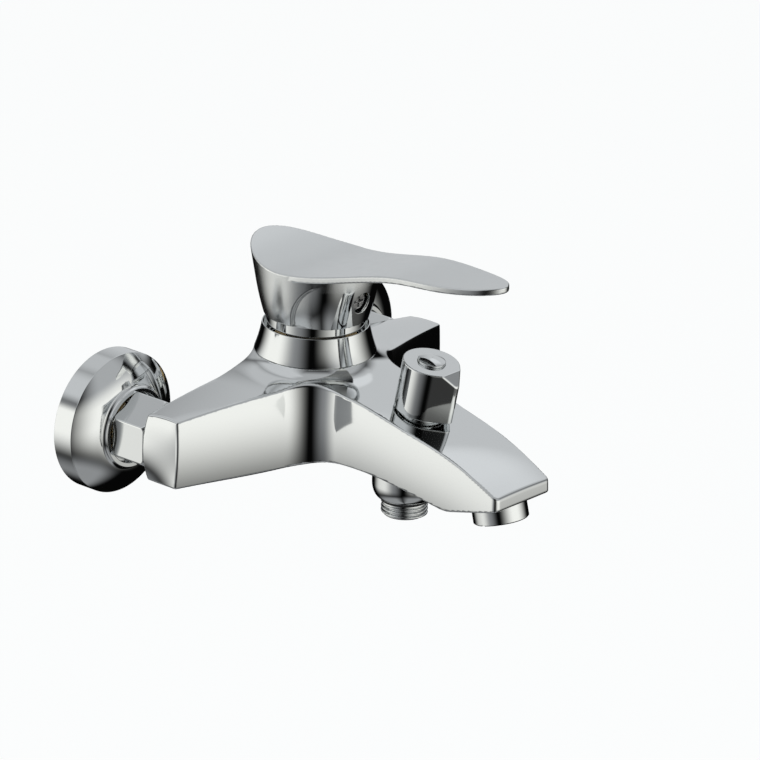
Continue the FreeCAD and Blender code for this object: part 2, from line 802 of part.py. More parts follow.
def shroud():
    """Waisted cover screwed on the body's collar, thin walled above so the lever's ring can dip in."""
    thread_r = collar_thread_r + seat_gap
    land_top = shroud_base + shroud_land
    waist = (shroud_waist_r, shroud_base + shroud_waist_height)
    inner_waist_r = shroud_waist_r - shroud_wall
    cover = turned([
        (thread_r, shroud_base), (shroud_base_r, shroud_base),
        (shroud_base_r - shroud_base_edge / 2, shroud_base + shroud_base_edge),
        ((shroud_waist_r + shroud_base_edge, shroud_base + 0.42 * shroud_waist_height), waist),
        (shroud_rim_r, shroud_top), (shroud_rim_r - shroud_edge, shroud_top),
        (inner_waist_r, waist[1]), (inner_waist_r, land_top), (thread_r, land_top),
    ])
    return cover.cut(ring(thread_r, 2 * shroud_ring_r, neck_top + shroud_groove))


def make_cartridge():
    """Everything that stands on the tower's axis under the lever."""
    def on_tower(shape):
        return set_at(shape, tower_depth, 0)

    pin = rod_across(pivot_pin_r, collar_r - pivot_pin_inset, pivot_height)
    shroud_seal = ring(collar_thread_r + shroud_ring_r + seat_gap / 2, shroud_ring_r,
                       neck_top + shroud_groove)
    save("cartridge_base", on_tower(cartridge_base()))
    save("cartridge_base_seals", on_tower(base_seals()))
    save("fixed_ceramic_disc", on_tower(fixed_disc()))
    save("moving_ceramic_disc", on_tower(moving_disc()))
    save("disc_carrier", on_tower(disc_carrier()))
    save("cartridge_housing", on_tower(cartridge_housing()))
    save("rotating_collar", on_tower(rotating_collar()))
    save("spindle_pivot_pin", on_tower(pin))
    save("lever_spindle", set_at(lever_spindle(), tower_depth, pivot_height, rest_lean))
    save("cartridge_retaining_nut", on_tower(retaining_nut()))
    save("cartridge_shroud", on_tower(shroud()))
    save("shroud_o_ring", on_tower(shroud_seal))


# Lever handle, made about the tower's axis with its ring standing on z = 0

def egg(height, half, back, front):
    """Closed section about the axis: two half ellipses with the same width."""
    edges = []
    for reach, sign in ((back, 1), (front, -1)):
        half_circle = Part.Arc(V(sign, 0, 0), V(0, sign, 0), V(-sign, 0, 0)).toShape()
        stretch = FreeCAD.Matrix()
        stretch.scale(half, reach, 1)
        stretch.move(0, 0, height)
        edges.append(half_circle.transformGeometry(stretch))
    return Part.Wire(edges)


def handle_hood(inset):
    """Hood that flares from the round ring to the egg-shaped rim, drawn in by an inset."""
    r = handle_ring_r - inset
    sections = [egg(handle_ring, r, r, r)]
    for height, side, back, front in hood_sections:
        sections.append(egg(height, r + side, r + back, r + front))
    return Part.makeLoft(sections, True, False)


def under_plate(drop):
    """Everything under the saddle-shaped top of the plate, lowered by a drop."""
    back = -rim_back - lever_overrun
    end = lever_reach + lever_overrun
    heights = [(back, rim_back_height), (-rim_back + rim_nape, rim_nape_height),
               (rim_widest, rim_side_height), (lever_rise, lever_rise_height),
               (lever_neck, lever_neck_height), (lever_reach - lever_pad_curve[0][0], lever_pad_height),
               (end, lever_tip_height)]
    top = [(reach, height - drop) for reach, height in heights]
    edges = [
        spline(top, from_side),
        Part.makeLine(from_side(*top[-1]), from_side(end, -handle_ring)),
        Part.makeLine(from_side(end, -handle_ring), from_side(back, -handle_ring)),
        Part.makeLine(from_side(back, -handle_ring), from_side(*top[0])),
    ]
    return swept_across(edges)


def lever_outline():
    """Plan of the plate as a prism: an egg over the tower that draws in and ends in a rounded paddle."""
    side = [(rim_reach - rim_back, rim_half - less) for rim_reach, less in rim_back_curve]
    side += [(rim_widest, rim_half)]
    side += [(reach, rim_half - less) for reach, less in rim_front_curve]
    side += [(lever_neck, lever_neck_half)]
    side += [(lever_reach - back, half) for back, half in lever_pad_curve]
    mirrored = [(reach, -half) for reach, half in reversed(side)]
    outline = [(-rim_back, 0.0)] + side + [(lever_reach, 0.0)] + mirrored
    curve = Part.BSplineCurve()
    curve.interpolate([V(half, -reach, 0) for reach, half in outline], PeriodicFlag=True)
    return Part.Face(Part.Wire(curve.toShape())).extrude(V(0, 0, FAR))


def arch_opening():
    """Space in front of the hood's arched edge, from the ring up to the underside of the plate."""
    far = arch_foot + arch_end_reach
    top = handle_ring + arch_end_height
    bow = (arch_foot + arch_bow_reach, handle_ring + arch_bow_height)
    edges = [
        Part.Arc(from_side(arch_foot, handle_ring), from_side(*bow), from_side(far, top)).toShape(),
        Part.makeLine(from_side(far, top), from_side(far, handle_ring)),
        Part.makeLine(from_side(far, handle_ring), from_side(arch_foot, handle_ring)),
    ]
    return swept_across(edges)


def handle_cavity():
    """Hollow inside the ring and hood that clears the collar and the spindle."""
    r = handle_ring_r - handle_wall
    cone = cavity_height - cavity_cone_height
    return turned([(0, -handle_ring), (r, -handle_ring), (r, cone), (r - cavity_cone_width, cavity_height),
                   (0, cavity_height)])


def lever_handle():
    """Cast handle: paddle plate, hood with an arch in front of a recessed column, ring and socket."""
    plate = lever_outline().common(under_plate(0)).cut(under_plate(lever_thick))
    under = under_plate(lever_thick / 10)
    hood = handle_hood(0).common(under).cut(arch_opening())
    column = handle_hood(column_inset).common(under)
    band = rod(handle_ring_r, 0, handle_ring + seat_gap)
    outside = plate.fuse([hood, column, band])

    def on_pivot(shape):
        return set_at(shape, 0, pivot_above_ring, rest_lean)

    boss_top = cavity_height - pivot_above_ring + lever_thick
    boss = on_pivot(rod(socket_boss_r, socket_boss_low, boss_top))
    rib = on_pivot(rod_forward(set_screw_hole_r + set_screw_hole_wall, 0, set_screw_head_at,
                               set_screw_height))
    inside = [boss.common(outside), rib.common(outside)]
    half = spindle_half + seat_gap
    cuts = [
        on_pivot(slot(half, half, 0, spindle_top + seat_gap)),
        on_pivot(rod_forward(set_screw_r + seat_gap, 0, set_screw_head_at, set_screw_height)),
        on_pivot(rod_forward(set_screw_hole_r, set_screw_head_at, rim_back, set_screw_height)),
    ]
    return outside.cut(handle_cavity()).fuse(inside).cut(cuts)


def set_screw():
    """Socket screw that locks the handle on the spindle, made about the pivot."""
    front = set_screw_head_at + set_screw_head
    shank = rod_forward(set_screw_r, spindle_half, set_screw_head_at, set_screw_height)
    head = rod_forward(set_screw_head_r, set_screw_head_at, front, set_screw_height)
    key = rod_forward(set_screw_key_r, front - set_screw_key, front, set_screw_height)
    return shank.fuse(head).cut(key)


def make_handle():
    """The lever and the screw that locks it."""
    save("lever_handle", set_at(lever_handle(), tower_depth, handle_bottom))
    save("handle_set_screw", set_at(set_screw(), tower_depth, pivot_height, rest_lean))


# Diverter, made about its own axis with the spout's top at z = 0

def bonnet():
    """Brass valve body screwed into the spout, with a flange and a neck under the knob."""
    chamber_r = diverter_disc_r + seat_gap
    bore_r = diverter_stem_r + running_gap
    return turned([
        (chamber_r, -bonnet_depth), (bonnet_thread_r, -bonnet_depth), (bonnet_thread_r, 0),
        (bonnet_flange_r, 0), (bonnet_flange_r, bonnet_flange), (bonnet_neck_r, bonnet_flange),
        (bonnet_neck_r, bonnet_neck), (bore_r, bonnet_neck), (bore_r, bonnet_roof_height),
        (chamber_r, bonnet_roof_height),
    ])


def diverter_disc_with(low, turns):
    """Rotary disc with one off-centre port for each of some turns."""
    disc = rod(diverter_disc_r, low, low + diverter_disc)
    for turn in turns:
        port = rod(diverter_port_r, low, low + diverter_disc)
        port.translate(V(0, -diverter_port_at, 0))
        port.rotate(V(0, 0, 0), V(0, 0, 1), turn)
        disc = disc.cut(port)
    return disc


def diverter_spindle(low):
    """Stem with a driving foot on the rotary disc and a tapped top for the knob's screw."""
    foot_r = diverter_disc_r - free_gap
    foot_top = bonnet_roof_height - free_gap
    spindle = turned([
        (0, low), (foot_r, low), (foot_r, foot_top), (diverter_stem_r, foot_top),
        (diverter_stem_r, knob_seat), (0, knob_seat),
    ])
    hole_end = knob_seat - knob_screw_length - knob_screw_end_gap
    return spindle.cut(rod(knob_screw_r + seat_gap, hole_end, knob_seat))


def diverter_knob():
    """Round hollow knob whose sides run on to a pointer with a sloping top."""
    tip_at = knob_pointer_reach - knob_pointer_half
    flank = math.asin((knob_r - knob_pointer_half) / tip_at)
    hip = (knob_r * math.cos(flank), -knob_r * math.sin(flank))
    foot = (knob_pointer_half * math.cos(flank), -tip_at - knob_pointer_half * math.sin(flank))
    outline = wire([hip, foot, ((0, -knob_pointer_reach), (-foot[0], foot[1])),
                    (-hip[0], hip[1]), ((0, knob_r), hip)],
                   lambda x, y: V(x, y, knob_low))
    knob = Part.Face(outline).extrude(V(0, 0, knob_top - knob_low))
    rims = edges_where(knob, lambda c, b: b.ZLength < 0.01 and abs(c.z - knob_top) < 0.01)
    knob = knob.makeFillet(knob_round, rims)
    slope_start = knob_r - knob_round
    slope = swept_across(wire([(slope_start, knob_top), (knob_pointer_reach, knob_top - knob_pointer_drop),
                               (knob_pointer_reach, knob_top)], from_side).Edges)
    hollow = rod(knob_r - knob_skirt_wall, knob_low, knob_hollow_top)
    recess = rod(cap_r + seat_gap, knob_top - cap_seat, knob_top)
    screw_well = rod(knob_screw_head_r + seat_gap, knob_seat, knob_top)
    stem = rod(diverter_stem_r + seat_gap, knob_low, knob_seat)
    return knob.cut([slope, hollow, recess, screw_well, stem])


def knob_cap():
    """Domed plug that hides the knob's screw."""
    rim = knob_top + cap_rim
    dome_r = (cap_r ** 2 + cap_dome ** 2) / (2 * cap_dome)
    plug = rod(cap_r, knob_top - cap_seat, rim + cap_dome)
    return plug.common(Part.makeSphere(dome_r, V(0, 0, rim + cap_dome - dome_r)))


def knob_screw():
    """Screw that holds the knob on the spindle."""
    head_top = knob_seat + knob_screw_head
    screw = rod(knob_screw_r, knob_seat - knob_screw_length, knob_seat).fuse(
        rod(knob_screw_head_r, knob_seat, head_top))
    return screw.cut(rod(knob_screw_key_r, head_top - knob_screw_key, head_top))


def make_diverter():
    """The rotary valve in the spout and its knob."""
    def on_spout(shape):
        return set_at(shape, diverter_depth, diverter_foot, diverter_lean)

    low = -bonnet_depth
    turning_low = low + diverter_disc + disc_film
    turning = diverter_disc_with(turning_low, (0,)).common(
        rod(diverter_disc_r - free_gap, turning_low, turning_low + diverter_disc))
    seal = tube(bonnet_thread_r, bonnet_thread_r - diverter_seal_width, low - diverter_seal, low)
    save("diverter_bonnet", on_spout(bonnet()))
    save("diverter_seat_seal", on_spout(seal))
    save("diverter_fixed_disc", on_spout(diverter_disc_with(low, (0, 90))))
    save("diverter_turning_disc", on_spout(turning))
    save("diverter_spindle", on_spout(diverter_spindle(turning_low + diverter_disc)))
    save("diverter_knob", on_spout(diverter_knob()))
    save("knob_screw", on_spout(knob_screw()))
    save("knob_cap", on_spout(knob_cap()))


# Outlets

def shower_nipple():
    """Threaded G1/2 tail for a hose, screwed up into the boss."""
    shoulder = outlet_seat - outlet_seal_thick
    shank_top = outlet_seat + outlet_shank
    return turned([
        (outlet_bore_r, outlet_end), (half_inch_r - outlet_thread_chamfer, outlet_end),
        (half_inch_r, outlet_end + outlet_thread_chamfer), (half_inch_r, shoulder),
        (outlet_shank_r, shoulder), (outlet_shank_r, shank_top), (outlet_bore_r, shank_top),
    ])


def aerator_ring():
    """Chromed ring screwed up into the spout, with a coin slot across its rim and a lip inside."""
    low = -aerator_drop
    lip_r = aerator_bore_r - aerator_lip
    body = turned([
        (lip_r, low), (aerator_r - aerator_edge, low), (aerator_r, low + aerator_edge),
        (aerator_r, -seat_gap), (aerator_thread_r, -seat_gap), (aerator_thread_r, aerator_thread),
        (aerator_bore_r, aerator_thread), (aerator_bore_r, low + aerator_lip), (lip_r, low + aerator_lip),
    ])
    return body.cut(slot(aerator_r, aerator_slot / 2, low, low + aerator_slot_depth))


def aerator_insert():
    """Plastic cup with rows of water holes in its floor."""
    low = -aerator_drop + aerator_lip
    top = aerator_thread - screen_thick
    outer_r = aerator_bore_r - seat_gap
    cup = rod(outer_r, low, top).cut(rod(outer_r - aerator_cup_wall, low + aerator_grid, top))
    holes = []
    for radius in aerator_row_radii:
        count = round(2 * math.pi * radius / aerator_hole_pitch)
        for k in range(count):
            angle = 2 * math.pi * k / count
            hole = rod(aerator_hole_r, low, low + aerator_grid)
            hole.translate(V(radius * math.cos(angle), radius * math.sin(angle), 0))
            holes.append(hole)
    return cup.cut(holes)


def make_outlets():
    """Shower outlet under the spout and aerator at its tip."""
    def under_tip(shape):
        return set_at(shape, aerator_depth, aerator_height, aerator_lean)

    outlet_seal = tube(half_inch_r - outlet_seal_inset, outlet_shank_r + seat_gap,
                       outlet_seat - outlet_seal_thick, outlet_seat)
    screen = rod(aerator_bore_r - seat_gap, aerator_thread - screen_thick, aerator_thread)
    washer = tube(aerator_thread_r - seat_gap, aerator_thread_r - aerator_washer_width, aerator_thread,
                  aerator_thread + aerator_washer)
    save("shower_outlet_nipple", set_at(shower_nipple(), outlet_depth, 0))
    save("shower_outlet_seal", set_at(outlet_seal, outlet_depth, 0))
    save("aerator_ring", under_tip(aerator_ring()))
    save("aerator_insert", under_tip(aerator_insert()))
    save("aerator_screen", under_tip(screen))
    save("aerator_washer", under_tip(washer))


os.makedirs("parts", exist_ok=True)
save("mixer_body", mixer_body())
make_connections()
make_cartridge()
make_handle()
make_diverter()
make_outlets()
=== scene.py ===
"""Looks of the wall-mounted bath mixer: its chromed pieces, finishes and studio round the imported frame.

Lengths inside the script are millimetres in the frame's own axes: X to the right facing the mixer,
-Y out from the wall, Z up. "Depth" is the distance out from the wall. Meshes are made in metres.
"""

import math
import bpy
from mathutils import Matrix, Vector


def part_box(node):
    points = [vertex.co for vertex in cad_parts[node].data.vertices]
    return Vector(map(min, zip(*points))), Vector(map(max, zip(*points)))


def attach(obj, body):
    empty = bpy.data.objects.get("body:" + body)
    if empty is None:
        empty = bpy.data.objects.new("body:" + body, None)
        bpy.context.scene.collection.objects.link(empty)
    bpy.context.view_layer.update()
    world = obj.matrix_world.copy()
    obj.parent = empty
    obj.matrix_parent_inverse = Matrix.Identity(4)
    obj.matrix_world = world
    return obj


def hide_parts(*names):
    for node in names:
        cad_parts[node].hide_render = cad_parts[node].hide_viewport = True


bl_info = {
    "name": "Bath Mixer Looks",
    "version": (1, 0, 0),
    "blender": (4, 5, 0),
    "location": "View3D > Sidebar > Bath Mixer",
    "description": "Builds the chromed pieces, finishes and studio of a wall-mounted bath mixer",
    "category": "Object",
}

from types import SimpleNamespace

import bmesh
import bpy
import numpy as np
from bpy.props import FloatProperty, FloatVectorProperty, PointerProperty
from mathutils import Matrix, Vector

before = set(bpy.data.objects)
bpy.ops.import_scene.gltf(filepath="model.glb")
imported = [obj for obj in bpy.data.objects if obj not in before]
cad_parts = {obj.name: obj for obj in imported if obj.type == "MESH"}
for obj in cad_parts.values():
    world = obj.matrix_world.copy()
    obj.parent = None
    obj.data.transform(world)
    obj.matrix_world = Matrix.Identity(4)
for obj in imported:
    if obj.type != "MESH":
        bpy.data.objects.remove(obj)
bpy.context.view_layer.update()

MM = 0.001
TINY = 1e-9


# Places taken from the frame

def middle(node):
    """Middle of a CAD node's box, as (x, depth, height) in millimetres."""
    low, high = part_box(node)
    centre = (low + high) / 2 / MM
    return centre.x, -centre.y, centre.z


TOWER_DEPTH = middle("cartridge_shroud")[1]
SUPPLY_X = middle("cold_union_nut")[0]
BOTH_SIDES = (("hot", -1), ("cold", 1))


# Curves, outlines and fields

def rounded_max(a, b, radius):
    """Meeting of two fields with the outer edge between them rounded."""
    out = np.hypot(np.maximum(a + radius, 0), np.maximum(b + radius, 0))
    return np.minimum(np.maximum(a, b), -radius) + out


def rounded_min(a, b, radius):
    """Union of two fields with the inner corner between them filled to a radius."""
    return -rounded_max(-a, -b, radius)


def eased_max(a, b, reach):
    """Greater of two fields, eased where they nearly agree."""
    near = np.maximum(reach - np.abs(a - b), 0) / reach
    return np.maximum(a, b) + near ** 3 * reach / 6


def eased_step(value, low, high):
    """0 below low and 1 above high, with a soft rise between."""
    share = np.clip((value - low) / (high - low), 0, 1)
    return share * share * (3 - 2 * share)


class Curve:
    """Smooth height over a coordinate, through a few points, straight beyond its ends."""

    def __init__(self, *points):
        self.at, self.height = np.array(points, float).T
        gap = np.diff(self.at)
        slope = np.diff(self.height) / gap
        count = len(points)
        system = np.eye(count)
        bend = np.zeros(count)
        for k in range(1, count - 1):
            system[k, k - 1:k + 2] = gap[k - 1], 2 * (gap[k - 1] + gap[k]), gap[k]
            bend[k] = 6 * (slope[k] - slope[k - 1])
        self.bend = np.linalg.solve(system, bend)

    def stretch(self, u):
        """Point before u, way past it, gap to the next, bends at both and slope at the first."""
        k = np.clip(np.searchsorted(self.at, u) - 1, 0, len(self.at) - 2)
        gap, low, high = self.at[k + 1] - self.at[k], self.bend[k], self.bend[k + 1]
        start = (self.height[k + 1] - self.height[k]) / gap - gap * (2 * low + high) / 6
        return k, u - self.at[k], gap, low, high, start

    def __call__(self, u):
        held = np.clip(u, self.at[0], self.at[-1])
        k, t, gap, low, high, start = self.stretch(held)
        inner = self.height[k] + t * (start + t * (low / 2 + t * (high - low) / (6 * gap)))
        return inner + self.slope(held) * (u - held)

    def slope(self, u):
        _, t, gap, low, high, start = self.stretch(u)
        return start + t * (low + t * (high - low) / (2 * gap))


def below(curve, u, height):
    """Field of everything below a curve, as a distance."""
    return (height - curve(u)) / np.sqrt(1 + curve.slope(u) ** 2)


def leaned(out, up, degrees):
    """Distances from and up along an axis that leans outward by some degrees."""
    cos, sin = math.cos(math.radians(degrees)), math.sin(math.radians(degrees))
    return out * cos - up * sin, up * cos + out * sin


def rounded_outline(corners, step):
    """Points of a closed outline from (x, y, radius) corners joined by straight lines."""
    nearly_straight = 1.57
    points = []
    count = len(corners)
    for k, (x, y, radius) in enumerate(corners):
        here = np.array((x, y), float)
        back = np.array(corners[k - 1][:2]) - here
        ahead = np.array(corners[(k + 1) % count][:2]) - here
        back /= np.linalg.norm(back)
        ahead /= np.linalg.norm(ahead)
        half = math.acos(np.clip(back @ ahead, -1, 1)) / 2
        if radius == 0 or half > nearly_straight:
            points.append(here)
            continue
        centre = here + (back + ahead) / np.linalg.norm(back + ahead) * radius / math.sin(half)
        first = here + back * radius / math.tan(half) - centre
        last = here + ahead * radius / math.tan(half) - centre
        turn = math.atan2(first[0] * last[1] - first[1] * last[0], first @ last)
        start = math.atan2(first[1], first[0])
        for angle in np.linspace(start, start + turn, max(3, int(abs(turn) * radius / step))):
            points.append(centre + radius * np.array((math.cos(angle), math.sin(angle))))
    return np.array(points)


def closed_spline(points, step):
    """Points of a smooth closed outline through a few points, spaced by their chords."""
    ring = np.array(points, float)
    chord = np.linalg.norm(np.roll(ring, -1, 0) - ring, axis=1)
    lap = 3
    at = np.concatenate([[0], np.cumsum(np.tile(chord, lap))])
    many = np.concatenate([np.tile(ring, (lap, 1)), ring[:1]])
    round_trip = chord.sum()
    u = np.arange(round_trip, 2 * round_trip, step)
    return np.stack([Curve(*zip(at, many[:, 0]))(u), Curve(*zip(at, many[:, 1]))(u)], 1)


class Plan:
    """Distance to a closed outline, negative inside, kept on a grid and read smoothly between its points."""

    def __init__(self, outline, cell=0.5, margin=6.0):
        self.cell = cell
        self.low = outline.min(0) - margin
        count = np.ceil((outline.max(0) + margin - self.low) / cell).astype(int) + 1
        x, y = (self.low[k] + cell * np.arange(count[k]) for k in (0, 1))
        at = np.stack(np.meshgrid(x, y, indexing="ij"), -1).reshape(-1, 2)
        start = outline
        along = np.roll(outline, -1, 0) - start
        reach = np.maximum((along ** 2).sum(1), TINY)
        distance = np.empty(len(at))
        batch = 2000
        for first in range(0, len(at), batch):
            p = at[first:first + batch, None, :] - start[None]
            share = np.clip((p * along).sum(-1) / reach, 0, 1)
            gap = np.sqrt(((p - share[..., None] * along) ** 2).sum(-1)).min(1)
            above = (p[..., 1] < 0) != (p[..., 1] - along[:, 1] < 0)
            rise = np.where(along[:, 1] == 0, TINY, along[:, 1])
            crossed = above & (p[..., 0] < along[:, 0] * p[..., 1] / rise)
            distance[first:first + batch] = np.where(crossed.sum(1) % 2, -gap, gap)
        self.grid = distance.reshape(count)

    def __call__(self, x, y):
        x, y = np.broadcast_arrays(x, y)
        place = []
        for value, low, size in zip((x, y), self.low, self.grid.shape):
            u = np.clip((value - low) / self.cell, 1, size - 2.001)
            k = np.floor(u).astype(int)
            t = u - k
            weights = (t * (t * (2 - t) - 1) / 2, (t * t * (3 * t - 5) + 2) / 2,
                       t * (t * (4 - 3 * t) + 1) / 2, t * t * (t - 1) / 2)
            place.append((k, weights))
        (i, across), (j, along) = place
        total = 0.0
        for a in range(4):
            row = sum(along[b] * self.grid[i + a - 1, j + b - 1] for b in range(4))
            total = total + across[a] * row
        return total


# Meshes

def slope_of(field, points, step=0.01):
    """Gradient of a field at some points."""
    slope = np.empty_like(points)
    for axis in range(3):
        ahead, back = points.copy(), points.copy()
        ahead[:, axis] += step
        back[:, axis] -= step
        slope[:, axis] = (field(*ahead.T) - field(*back.T)) / (2 * step)
    return slope


def skin_of(field, low, high, cell):
    """Points, quads and normals of a field's zero level, negative being inside."""
    axes = [np.arange(a - 1.5 * cell, b + 2.5 * cell, cell) for a, b in zip(low, high)]
    shape = tuple(len(axis) for axis in axes)
    x, y, z = axes
    values = np.broadcast_to(field(x[:, None, None], y[None, :, None], z[None, None, :]), shape)
    inside = values < 0
    crossings, quads = [], []
    for axis in range(3):
        order = (axis, (axis + 1) % 3, (axis + 2) % 3)
        held, within = values.transpose(order), inside.transpose(order)
        i, j, k = np.nonzero(within[:-1, 1:-1, 1:-1] != within[1:, 1:-1, 1:-1])
        j, k = j + 1, k + 1
        first, second = held[i, j, k], held[i + 1, j, k]
        place = np.stack([axes[order[0]][i] + cell * first / (first - second),
                          axes[order[1]][j], axes[order[2]][k]], 1)
        back = np.argsort(order)
        corners = [np.stack([i, j - 1, k - 1], 1), np.stack([i, j, k - 1], 1),
                   np.stack([i, j, k], 1), np.stack([i, j - 1, k], 1)]
        crossings.append(place[:, back])
        cells = np.stack([corner[:, back] for corner in corners], 1)
        leaving = within[i, j, k]
        cells[~leaving] = cells[~leaving][:, ::-1]
        quads.append(cells)
    flat = [np.ravel_multi_index(cells.reshape(-1, 3).T, shape).reshape(-1, 4) for cells in quads]
    used, index = np.unique(np.concatenate(flat), return_inverse=True)
    faces = index.reshape(-1, 4)
    total = np.zeros((len(used), 3))
    share = np.zeros(len(used))
    places = np.concatenate(crossings)
    for corner in range(4):
        for axis in range(3):
            total[:, axis] += np.bincount(faces[:, corner], places[:, axis], len(used))
        share += np.bincount(faces[:, corner], minlength=len(used))
    points = total / share[:, None]
    passes, least_slope, longest = 4, 0.05, 0.7 * cell
    for _ in range(passes):
        slope = slope_of(field, points)
        pull = field(*points.T)[:, None] * slope / np.maximum((slope ** 2).sum(1), least_slope)[:, None]
        length = np.linalg.norm(pull, axis=1)[:, None]
        points -= pull * np.minimum(1, longest / np.maximum(length, TINY))
    slope = slope_of(field, points)
    return points, faces, slope / np.maximum(np.linalg.norm(slope, axis=1), TINY)[:, None]


def profile_of(steps, rounding):
    """Points and outward normals of a profile whose steps are corners or arcs, its corners eased.

    It is closed, or runs from axis to axis where its first and last steps lie there.
    """
    runs = []
    at = np.array(steps[0], float)
    open_ended = steps[0][0] == 0 and steps[-1][0] == 0
    for step in list(steps[1:]) + ([] if open_ended else [steps[0]]):
        if isinstance(step[0], tuple):
            through, end = (np.array(point, float) for point in step)
            runs.append(arc_points(at, through, end))
            at = end
        elif tuple(at) != tuple(step):
            runs.append(np.array([at, step], float))
            at = np.array(step, float)
    if open_ended:
        trims = [(rounding * (k > 0), rounding * (k < len(runs) - 1)) for k in range(len(runs))]
    else:
        trims = [(rounding, rounding)] * len(runs)
    runs = [trimmed(run, *cuts) for run, cuts in zip(runs, trims)]
    points, ways = [], []
    for k, run in enumerate(runs):
        points.append(run)
        ways.append(tangents(run))
        if open_ended and k == len(runs) - 1:
            break
        after = runs[(k + 1) % len(runs)]
        way_in, way_out = ways[-1][-1], tangents(after)[0]
        t = np.array([[0.2], [0.4], [0.6], [0.8]])
        reach = np.linalg.norm(after[0] - run[-1]) * 0.55
        points.append((1 - t) ** 3 * run[-1] + 3 * (1 - t) ** 2 * t * (run[-1] + way_in * reach)
                      + 3 * (1 - t) * t ** 2 * (after[0] - way_out * reach) + t ** 3 * after[0])
        ways.append((1 - t) * way_in + t * way_out)
    way = np.concatenate(ways)
    way /= np.linalg.norm(way, axis=1)[:, None]
    return np.concatenate(points), np.stack([way[:, 1], -way[:, 0]], 1)


def arc_points(start, through, end):
    """Points of the arc from start to end through a third point."""
    (ax, ay), (bx, by), (cx, cy) = start, through, end
    double = 2 * (ax * (by - cy) + bx * (cy - ay) + cx * (ay - by))
    first, second, third = ax ** 2 + ay ** 2, bx ** 2 + by ** 2, cx ** 2 + cy ** 2
    centre = np.array((first * (by - cy) + second * (cy - ay) + third * (ay - by),
                       first * (cx - bx) + second * (ax - cx) + third * (bx - ax))) / double
    first, last = start - centre, end - centre
    turn = math.atan2(first[0] * last[1] - first[1] * last[0], first @ last)
    per_radian = 14
    spun = np.linspace(0, turn, max(6, int(abs(turn) * per_radian) + 2))
    cos, sin = np.cos(spun), np.sin(spun)
    return centre + np.stack([first[0] * cos - first[1] * sin, first[0] * sin + first[1] * cos], 1)


def trimmed(run, at_start, at_end):
    """A run of points shortened at its ends, by less where it is short."""
    length = np.concatenate([[0], np.cumsum(np.linalg.norm(np.diff(run, axis=0), axis=1))])
    most = length[-1] * 0.4
    first, last = min(at_start, most), length[-1] - min(at_end, most)
    keep = (length > first) & (length < last)
    at = np.concatenate([[first], length[keep], [last]])
    return np.stack([np.interp(at, length, run[:, k]) for k in (0, 1)], 1)


def tangents(run):
    """Unit direction of travel at each point of a run."""
    way = np.gradient(run, axis=0)
    if len(run) > 3:
        way[0] = 1.5 * (run[1] - run[0]) - 0.5 * (run[2] - run[1])
        way[-1] = 1.5 * (run[-1] - run[-2]) - 0.5 * (run[-2] - run[-3])
    return way / np.linalg.norm(way, axis=1)[:, None]


def turned_skin(steps, stand, rounding, segments=192):
    """Skin of a profile of (radius, height) steps turned about Z, moved by a matrix in millimetres."""
    profile, normal = profile_of(steps, rounding)
    turn = np.linspace(0, 2 * math.pi, segments, endpoint=False)
    points, normals, rings = [], [], []
    start = 0
    for (radius, height), (out, up) in zip(profile, normal):
        spun = turn if radius > TINY else turn[:1]
        out = out if radius > TINY else 0.0
        level = np.ones(len(spun))
        points.append(np.stack([radius * np.cos(spun), radius * np.sin(spun), height * level], 1))
        normals.append(np.stack([out * np.cos(spun), out * np.sin(spun), up * level], 1))
        rings.append(np.resize(np.arange(start, start + len(spun)), segments))
        start += len(spun)
    open_ended = profile[0, 0] <= TINY and profile[-1, 0] <= TINY
    faces = []
    for ring, after in zip(rings, rings[1:] + ([] if open_ended else rings[:1])):
        for quad in zip(ring, np.roll(ring, -1), np.roll(after, -1), after):
            faces.append(tuple(dict.fromkeys(int(v) for v in quad)))
    return placed((np.concatenate(points), faces, np.concatenate(normals)), stand)


def placed(skin, move):
    """A skin moved by a matrix in millimetres."""
    points, faces, normals = skin
    turn = np.array(move.to_3x3())
    shift = np.array(move.translation)
    return points @ turn.T + shift, faces, normals @ turn.T


def standing(depth, height, lean=0.0):
    """Matrix that stands a piece made about Z at a depth and height, leaning forward by degrees."""
    return Matrix.Translation((0, -depth, height)) @ Matrix.Rotation(math.radians(lean), 4, "X")


def joined(*skins):
    """Several skins as one."""
    points, faces, normals, start = [], [], [], 0
    for part_points, part_faces, part_normals in skins:
        points.append(part_points)
        normals.append(part_normals)
        faces += [tuple(int(v) + start for v in face) for face in part_faces]
        start += len(part_points)
    return np.concatenate(points), faces, np.concatenate(normals)


def add_piece(name, skin, body, slot, *nodes, look=None):
    """Scene object from a skin in millimetres that rides on a body in place of some CAD nodes."""
    points, faces, normals = skin
    mesh = bpy.data.meshes.new(name)
    mesh.from_pydata((points * MM).tolist(), [], [list(map(int, face)) for face in faces])
    mesh.polygons.foreach_set("use_smooth", np.ones(len(mesh.polygons), bool))
    mesh.normals_split_custom_set_from_vertices(normals.tolist())
    piece = bpy.data.objects.new(name, mesh)
    bpy.context.scene.collection.objects.link(piece)
    mesh.materials.append(finish(look or slot))
    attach(piece, body)
    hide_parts(*nodes)


def add_pair(name, skin, slot, node):
    """A skin made about its own middle, put on both supplies."""
    points, faces, normals = skin
    for side, sign in BOTH_SIDES:
        there = (points + (sign * SUPPLY_X, 0, 0), faces, normals)
        add_piece(side + name, there, "body", slot, side + node)


# Finishes

